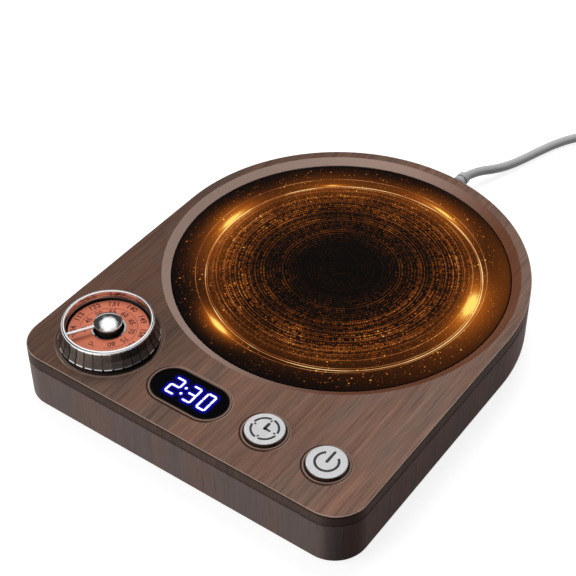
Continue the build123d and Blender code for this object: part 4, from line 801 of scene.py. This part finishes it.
def scale_paint(look):
    """Copper-coloured paint with a soft turned sheen, and a bright raised ring round the hub."""
    material, tree = new_finish("scale_copper")
    grain = use(tree, "Brushed Metal", {
        "Color": look.copper, "Centre": DIAL, "Turned": 1.0, "Size": 5200.0, "Roughness": 0.42})
    raised = fade(here(tree).parts()[2], SCALE_TOP + 0.02 * MM, SCALE_TOP + 0.06 * MM)
    coat(tree, blend(raised, grain["Color"], times(look.chrome, 0.45)), raised * -0.25 + grain["Roughness"],
         Metallic=raised * 0.8 + 0.2, Normal=bump(grain["Height"], 0.004 * MM))
    return material


class WARMER_OT_dial(bpy.types.Operator):
    """Finish the chromed dial and its copper scale, and print the numbers"""
    bl_idname = "warmer.dial"
    bl_label = "Dial"

    def execute(self, context):
        look, marks = context.scene.warmer_finishes, context.scene.warmer_marks
        dress(ring_plating(look), "knob_ring")
        dress(plating("hub_chrome", look, 0.09, 1.0), "hub_cap")
        dress(plating("pointer_chrome", look, 0.30, 0.6), "pointer_arm")
        dress(scale_paint(look), "dial_face")
        dress(plastic("seat_black", (0.012, 0.011, 0.011), 0.35), "dial_seat")
        dress(plastic("shaft_black", (0.02, 0.02, 0.02), 0.4), "dial_shaft")
        bm = bmesh.new()
        height = SCALE_TOP + marks.ink
        for outer, inner, degrees in SCALE_NUMBERS:
            add_number(bm, marks, outer, marks.outer_row, degrees, 1.0, height)
            add_number(bm, marks, inner, marks.inner_row, degrees, 0.92, height)
        for text, row, out, degrees in UNITS:
            add_number(bm, marks, text, getattr(marks, row) + out, degrees, 0.75, height)
        add_arc(bm, DIAL, marks.dividing_line, 0.14 * MM, 210, -60, height, 72)
        thicken(bm, marks.ink)
        ink = plastic("scale_ink", look.print_ink, 0.5, 4000.0, 0.2, 0.002 * MM)
        finish_piece("scale_numbers", bm, ink, "housing")
        return {"FINISHED"}


# Each digit's left end and width, in millimetres from the window's middle, and its lit bars.
DIGITS = ((-7.3, 3.5, "abged"), (-0.8, 3.2, "abgcd"), (4.6, 3.3, "abcdef"))
# The colon's two dots.
COLON = ((-2.25, 1.2), (-2.25, -1.37))
# Size of the sheet that carries the glow, the glow's reach, and its colour by the strokes.
GLOW_SIZE = (19.5 * MM, 9.6 * MM, 1)
GLOW_REACH = 0.85 * MM
GLOW_CORE = (0.09, 0.10, 0.95)


def digit_strokes(h):
    """Strokes of the digits and dots of the colon, in the frame."""
    gap = 0.06 * h
    low = LENS.y - 0.475 * h
    mid, top = low + h / 2, low + h
    found = []
    for left, width, bars in DIGITS:
        x0 = LENS.x + (left + 0.2) * MM
        x1 = x0 + (width - 0.4) * MM
        ends = {bar: ((x0 + gap, y), (x1 - gap, y)) for bar, y in zip("agd", (top, mid, low))}
        for bar, x, high, foot in zip("fbec", (x0, x1) * 2, (top, top, mid, mid), (mid, mid, low, low)):
            ends[bar] = (x, high - gap), (x, foot + gap)
        found += [ends[bar] for bar in bars]
    return found, [(LENS.x + x * MM, LENS.y + y * MM) for x, y in COLON]


def add_glow(look, marks, strokes):
    """A thin sheet over the window that carries the light round the strokes."""
    bm = bmesh.new()
    bmesh.ops.create_grid(bm, x_segments=110, y_segments=50, size=0.5)
    bmesh.ops.scale(bm, vec=GLOW_SIZE, verts=bm.verts)
    bmesh.ops.translate(bm, vec=(LENS.x, LENS.y, LENS_TOP + 0.5 * marks.ink), verts=bm.verts)
    layer = bm.verts.layers.float.new("glow")
    for v in bm.verts:
        near = min(from_stroke(v.co, a, b) for a, b in strokes)
        v[layer] = math.exp(-(near / GLOW_REACH) ** 1.4)
    material, tree = new_finish("digit_glow")
    amount = output(tree, "Attribute", socket="Fac", attribute_name="glow")
    coat(tree, (0.0, 0.0, 0.0), Specular_IOR_Level=0.0, Alpha=fade(amount, 0.01, 0.7),
         Emission_Color=blend(fade(amount, 0.55, 1.0), look.digit_glow, GLOW_CORE), Emission_Strength=1.0)
    finish_piece("display_glow", bm, material, "housing")


def from_stroke(spot, a, b):
    """Distance in the plane from a spot to a stroke's centre line."""
    run, off = Vector(b) - Vector(a), spot.xy - Vector(a)
    t = min(1.0, max(0.0, off.dot(run) / run.length_squared)) if run.length_squared else 0.0
    return (off - run * t).length


class WARMER_OT_display(bpy.types.Operator):
    """Finish the window and its trim, and light the digits"""
    bl_idname = "warmer.display"
    bl_label = "Display"

    def execute(self, context):
        look, marks = context.scene.warmer_finishes, context.scene.warmer_marks
        material, tree = new_finish("window_black")
        smear = noise(here(tree), 210.0, 3.0)
        coat(tree, blend(smear, (0.0004, 0.0004, 0.0007), (0.0012, 0.0011, 0.0016)), smear * 0.1 + 0.08,
             Specular_IOR_Level=0.015)
        dress(material, "display_lens")
        dress(rim("display_trim", srgb(140, 108, 94)), "display_trim")
        strokes, dots = digit_strokes(marks.digit_height)
        height = LENS_TOP + 2 * marks.ink
        bm = bmesh.new()
        for a, b in strokes:
            add_stroke(bm, a, b, marks.digit_stroke, height)
        for spot in dots:
            add_stroke(bm, spot, (spot[0] + 0.02 * MM, spot[1]), 1.4 * marks.digit_stroke, height)
        thicken(bm, marks.ink)
        light, tree = new_finish("digit_light")
        coat(tree, (0.8, 0.8, 0.8), Emission_Strength=1.0, Emission_Color=blend(
            noise(here(tree), 500.0, 1.0), (0.80, 0.88, 1.0), (1.0, 1.0, 1.0)))
        finish_piece("display_digits", bm, light, "housing")
        add_glow(look, marks, strokes + [(dot, dot) for dot in dots])
        return {"FINISHED"}


# Radii of the clock sign's ring and ticks and of the power sign's ring.
CLOCK_R = 4.15 * MM
TICK_INNER_R, TICK_OUTER_R = 3.3 * MM, 3.6 * MM
POWER_R = 3.5 * MM
# Lengths of the clock's hands and of the power sign's bar, which point along Y, X and Y.
LONG_HAND, SHORT_HAND, BAR = 2.1 * MM, 1.7 * MM, 4.1 * MM
# The way that the part of a cap's side with the lighter painted reflection faces.
CAP_LIT = (0.82, 0.57, 0)


def cap_satin(look):
    """Blasted metal with a fine grain, a painted highlight on the bevel, and a side with painted reflection
    in bronze-brown, lighter where it faces CAP_LIT.
    """
    material, tree = new_finish("cap_satin")
    grain = use(tree, "Moulded Grain", {
        "Color": look.cap_metal, "Size": 3600.0, "Mottle": 0.5, "Roughness": 0.42})
    level = facing(tree).parts()[2]
    z = here(tree).parts()[2]
    side = fade(level, 0.6, 0.75, 1.0, 0.0) * fade(z, CAP_TOP - 0.34 * MM, CAP_TOP - 0.26 * MM, 1.0, 0.0)
    # Painted reflection on the cap's side: dark bronze-brown, lighter where it faces CAP_LIT.
    bronze = blend(fade(facing(tree).dot(CAP_LIT), 0.45, 0.85), srgb(84, 64, 54), srgb(190, 180, 174))
    bevel_highlight = band(level, 0.72, 0.97, 0.02)
    coat(tree, layered(grain["Color"], (bevel_highlight, (0.95, 0.95, 0.95)), (side, bronze)),
         side * -0.2 + grain["Roughness"], Metallic=side * -0.4 + 0.7,
         Normal=bump(grain["Height"], 0.02 * MM, 0.6))
    return material


class WARMER_OT_buttons(bpy.types.Operator):
    """Finish the two caps and their trims, and mark them"""
    bl_idname = "warmer.buttons"
    bl_label = "Buttons"

    def execute(self, context):
        look, marks = context.scene.warmer_finishes, context.scene.warmer_marks
        height = CAP_TOP + marks.ink
        mark = plastic("cap_mark", look.cap_mark, 0.5, 4000.0, 0.2, 0.002 * MM)
        dress(cap_satin(look), "timer_button", "power_button")
        line = marks.icon_line
        bm = bmesh.new()
        for quarter in (0, 90, 180, 270):
            add_arc(bm, TIMER, CLOCK_R, 0.9 * line, quarter + 7, quarter + 83, height, 20)
            ends = (around(TIMER, r, quarter) for r in (TICK_INNER_R, TICK_OUTER_R))
            add_stroke(bm, *ends, 0.7 * line, height)
        add_stroke(bm, TIMER, (TIMER.x, TIMER.y + LONG_HAND), 1.35 * line, height)
        add_stroke(bm, TIMER, (TIMER.x + SHORT_HAND, TIMER.y), 0.95 * line, height)
        thicken(bm, marks.ink)
        finish_piece("timer_mark", bm, mark, "timer_key")
        bm = bmesh.new()
        add_arc(bm, POWER, POWER_R, line, 90 + 38, 90 + 322, height, 60)
        add_stroke(bm, POWER, (POWER.x, POWER.y + BAR), 1.2 * line, height)
        thicken(bm, marks.ink)
        finish_piece("power_mark", bm, mark, "power_key")
        for node in ("timer_trim", "power_trim"):
            dress(rim(node, srgb(150, 118, 104)), node)
        dress(plastic("stem_black", (0.02, 0.02, 0.02), 0.4),
              "timer_stem", "power_stem", "timer_actuator", "power_actuator")
        return {"FINISHED"}


def coil_points(per_turn):
    """Control points of the coil's turns, clockwise from where the cord comes in."""
    points = []
    widen = 1 / (0.75 + 0.25 * math.cos(2 * math.pi / per_turn))
    count = (len(COIL_CELLS) - 1) * per_turn + round(per_turn * COIL_ENTRY / 360)
    for i in range(count):
        turn, step = divmod(i, per_turn)
        now = COIL_CELLS[turn]
        after = COIL_CELLS[min(turn + 1, len(COIL_CELLS) - 1)]
        t = max(0.0, (step - 0.7 * per_turn) / (0.3 * per_turn))
        t = t * t * (3 - 2 * t)
        r, z = (a + (b - a) * t for a, b in zip(now, after))
        points.append((*around(COIL_CENTRE, r * widen, COIL_ENTRY - 360 * i / per_turn), z))
    return points


class WARMER_OT_power_cord(bpy.types.Operator):
    """Lay the mains cord from its strain relief to the coil and the plug"""
    bl_idname = "warmer.power_cord"
    bl_label = "Power Cord"

    def execute(self, context):
        look = context.scene.warmer_finishes
        cord = context.scene.warmer_cord
        sheath = plastic("cord_sheath", look.cord, 0.42, 1800.0, 0.18, 0.01 * MM)
        points = [CORD_EXIT, *CORD_RUN, *coil_points(cord.turn_points), *CORD_TAIL]
        curve = set_up(bpy.data.curves.new("mains_cord", "CURVE"), dimensions="3D",
                       bevel_depth=cord.diameter / 2, bevel_resolution=4, use_fill_caps=True)
        curve.materials.append(sheath)
        spline = curve.splines.new("NURBS")
        spline.points.add(len(points) - 1)
        for point, at in zip(spline.points, points):
            point.co = (*at, 1.0)
        set_up(spline, order_u=3, use_endpoint_u=True, resolution_u=4)
        piece = new_object("mains_cord", curve)
        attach(piece, "housing")
        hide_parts("power_cord", "cord_coil", "cord_tail")
        dress(sheath, "strain_relief", "inner_cord", "plug_body")
        dress(plastic("tie_black", (0.02, 0.02, 0.021), 0.6, 2600.0, 0.4, 0.05 * MM), "coil_tie")
        dress(metal("blade_nickel", (0.66, 0.62, 0.55), 0.25), "plug_blades")
        dress(plastic("clamp_black", (0.02, 0.02, 0.02), 0.4), "cord_clamp")
        return {"FINISHED"}


class WARMER_OT_underside(bpy.types.Operator):
    """Finish the feet and the screws"""
    bl_idname = "warmer.underside"
    bl_label = "Underside"

    def execute(self, context):
        dress(plastic("foot_rubber", (0.022, 0.022, 0.022), 0.75, 1400.0, 0.35, 0.04 * MM), "rubber_feet")
        dress(metal("screw_steel", (0.42, 0.42, 0.43), 0.35),
              "housing_screws", "bracket_screws", "control_board_screws", "power_board_screws",
              "clamp_screws")
        return {"FINISHED"}


class WARMER_OT_inner_works(bpy.types.Operator):
    """Finish the heater stack, the boards, their components and the wiring"""
    bl_idname = "warmer.inner_works"
    bl_label = "Inner Works"

    def execute(self, context):
        dress(metal("spreader_aluminium", (0.68, 0.68, 0.69), 0.38), "heat_spreader")
        dress(metal("foil_track", (0.55, 0.50, 0.44), 0.25), "heating_element")
        dress(plastic("mica", (0.42, 0.33, 0.22), 0.35, 500.0, 0.5), "mica_sheet")
        dress(plastic("fibre", (0.62, 0.60, 0.55), 0.9, 2400.0, 0.5, 0.1 * MM), "insulation_pad")
        dress(metal("bracket_steel", (0.5, 0.5, 0.51), 0.4), "heater_bracket", "encoder_nut")
        dress(plastic("sensor_epoxy", (0.25, 0.16, 0.08), 0.35), "temperature_sensor")
        dress(plastic("holder_silicone", (0.45, 0.12, 0.09), 0.6), "sensor_holder")
        dress(metal("fuse_tin", (0.6, 0.58, 0.55), 0.3), "thermal_fuse")
        dress(plastic("board_green", (0.02, 0.13, 0.05), 0.35, 1200.0, 0.4), "control_board", "power_board")
        dress(plastic("component_black", (0.03, 0.03, 0.032), 0.45),
              "encoder_body", "display_module", "timer_switch", "power_switch", "triac", "board_header")
        dress(plastic("film_red", (0.45, 0.13, 0.05), 0.3), "film_capacitor")
        dress(metal("can_aluminium", (0.55, 0.56, 0.58), 0.25), "reservoir_capacitor")
        dress(plastic("fuse_glass", (0.5, 0.55, 0.55), 0.1), "mains_fuse")
        dress(plastic("terminal_green", (0.03, 0.22, 0.08), 0.4), "terminal_block")
        dress(plastic("lead_red", (0.45, 0.03, 0.02), 0.45), "heater_leads")
        dress(plastic("lead_white", (0.6, 0.6, 0.58), 0.45), "sensor_leads", "mains_leads")
        return {"FINISHED"}


# The camera: its place, its turns in degrees from looking straight down, and its shift.
EYE = (0.194483, -0.283955, 0.3324)
TURNS = ((35.078, "Z"), (48.183, "X"), (0.105, "Z"))
SHIFT = (-0.0293, -0.0118)
# Focal length and width of the image, in pixels, and width of the sensor, in millimetres.
FOCAL, IMAGE, SENSOR = 1432.0, 576, 36.0
# The softbox that the chrome mirrors: place round the arch and to the side, and half sizes.
SOFTBOX = (1.30, -0.04)
SOFTBOX_HALF = (0.78, 0.56)
# The lamps: name of the lamp and of its setting, width, place.
LAMPS = (("overhead", 0.55, (-0.25, 0.36, 0.92)), ("front", 0.7, (-0.56, -0.78, 0.36)))


def add_camera(context):
    """Long lens, looking down from the front right."""
    camera = set_up(bpy.data.cameras.new("camera"), sensor_width=SENSOR, clip_end=10.0,
                    lens=FOCAL / IMAGE * SENSOR, shift_x=SHIFT[0], shift_y=SHIFT[1])
    place = Matrix.Translation(EYE)
    for degrees, axis in TURNS:
        place @= Matrix.Rotation(math.radians(degrees), 4, axis)
    context.scene.camera = set_up(new_object("camera", camera), matrix_world=place)


def add_lamp(name, power, size, at):
    """A large soft square lamp that faces the warmer."""
    light = set_up(bpy.data.lights.new(name, "AREA"), energy=power, size=size)
    turn = (Vector((0.0, 0.0, 0.01)) - Vector(at)).to_track_quat("-Z", "Y").to_euler()
    set_up(new_object(name, light), location=at, rotation_euler=turn, visible_glossy=False)


def add_floor(size):
    """A pale floor that looks white, keeps the warmer's shadow and is clear from below."""
    material, tree = new_finish("studio_floor")
    tree.nodes.remove(tree.nodes["Principled BSDF"])
    path = signals(add(tree, "LightPath"))
    seen = gather("MAXIMUM", (path["Is Camera Ray"], path["Is Glossy Ray"], path["Is Transmission Ray"]))
    dim = output(tree, "BsdfDiffuse", {"Color": (0.16, 0.16, 0.16)})
    paint = output(tree, "BsdfDiffuse", {"Color": (0.36, 0.36, 0.36)})
    glow = fade(here(tree).length(), 0.3, 1.4, 0.85, 1.0)
    shine = output(tree, "Emission", {"Color": (1.0, 1.0, 1.0), "Strength": glow})
    white = output(tree, "AddShader", {0: paint, 1: shine})
    above = output(tree, "MixShader", {0: seen, 1: dim, 2: white})
    below = output(tree, "NewGeometry", socket="Backfacing")
    clear = output(tree, "BsdfTransparent")
    both = output(tree, "MixShader", {0: below, 1: above, 2: clear})
    fill(tree.nodes["Material Output"], {"Surface": both})
    bm = bmesh.new()
    bmesh.ops.create_grid(bm, x_segments=8, y_segments=8, size=size / 2)
    from_bmesh("studio_floor", bm, material)


def set_world(context, ambient):
    """White where it is seen, an arch of light where it is mirrored, an even light elsewhere."""
    world = context.scene.world or bpy.data.worlds.new("studio")
    context.scene.world = set_up(world, use_nodes=True)
    tree = world.node_tree
    tree.nodes.clear()
    path = signals(add(tree, "LightPath"))
    way = output(tree, "TexCoord", socket="Generated")
    arch = way.parts()[2].calc("ARCTAN2", way.dot(REAR))
    side = way.dot((-REAR[1], REAR[0], 0))
    reach = joined((arch - SOFTBOX[0]) / SOFTBOX_HALF[0],
                   (side - SOFTBOX[1]) / SOFTBOX_HALF[1]).length()
    reach = (noise(way, 2.6, 1.0) - 0.5) * 0.9 + reach
    mirrored = gather("MAXIMUM", (
        fade(reach, 0.58, 1.12, 1.12, 0.05),
        fade(arch, 0.04, 0.14, 0.8, 0.0) + fade(arch, 2.2, 2.95, 0.0, 0.75),
        fade(arch, 1.9, 2.3, 0.05, 0.55), fade(side, -0.86, -0.72, 0.85, 0.0)))
    level = path["Is Glossy Ray"] * (mirrored - ambient) + ambient
    level = gather("MAXIMUM", (level, path["Is Camera Ray"], path["Is Transmission Ray"]))
    sky = output(tree, "Background", {"Color": (1.0, 1.0, 1.0), "Strength": level})
    add(tree, "OutputWorld", {"Surface": sky})


class WARMER_OT_studio(bpy.types.Operator):
    """Set the floor, the lamps, the world and the camera"""
    bl_idname = "warmer.studio"
    bl_label = "Studio"

    def execute(self, context):
        studio = context.scene.warmer_studio
        add_camera(context)
        add_floor(studio.floor_size)
        set_world(context, studio.ambient)
        for name, width, at in LAMPS:
            add_lamp(name, getattr(studio, name), width, at)
        context.scene.view_settings.view_transform = "Standard"
        return {"FINISHED"}


class WARMER_PT_panel(bpy.types.Panel):
    """Tools that finish the mug warmer"""
    bl_label = "Mug Warmer"
    bl_idname = "WARMER_PT_panel"
    bl_space_type = "VIEW_3D"
    bl_region_type = "UI"
    bl_category = "Mug Warmer"

    def draw(self, context):
        for operator in OPERATORS:
            self.layout.operator(operator.bl_idname)
        for settings in SETTINGS:
            box = self.layout.box()
            for name in SETTINGS[settings].__annotations__:
                box.prop(getattr(context.scene, settings), name)


OPERATORS = (
    WARMER_OT_wood_shell, WARMER_OT_warming_plate, WARMER_OT_dial, WARMER_OT_display, WARMER_OT_buttons,
    WARMER_OT_power_cord, WARMER_OT_underside, WARMER_OT_inner_works, WARMER_OT_studio,
)
SETTINGS = {
    "warmer_finishes": WarmerFinishes, "warmer_marks": WarmerMarks,
    "warmer_cord": WarmerCord, "warmer_studio": WarmerStudio,
}
CLASSES = (*SETTINGS.values(), *OPERATORS, WARMER_PT_panel)


def register():
    for cls in CLASSES:
        bpy.utils.register_class(cls)
    for name, cls in SETTINGS.items():
        setattr(bpy.types.Scene, name, bpy.props.PointerProperty(type=cls))


def unregister():
    for name in SETTINGS:
        delattr(bpy.types.Scene, name)
    for cls in reversed(CLASSES):
        bpy.utils.unregister_class(cls)


def main():
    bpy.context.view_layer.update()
    register()
    make_wood_grain()
    make_moulded_grain()
    make_brushed_metal()
    for operator in OPERATORS:
        getattr(bpy.ops.warmer, operator.bl_idname.split(".")[1])()
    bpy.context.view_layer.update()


if __name__ == "__main__":
    main()
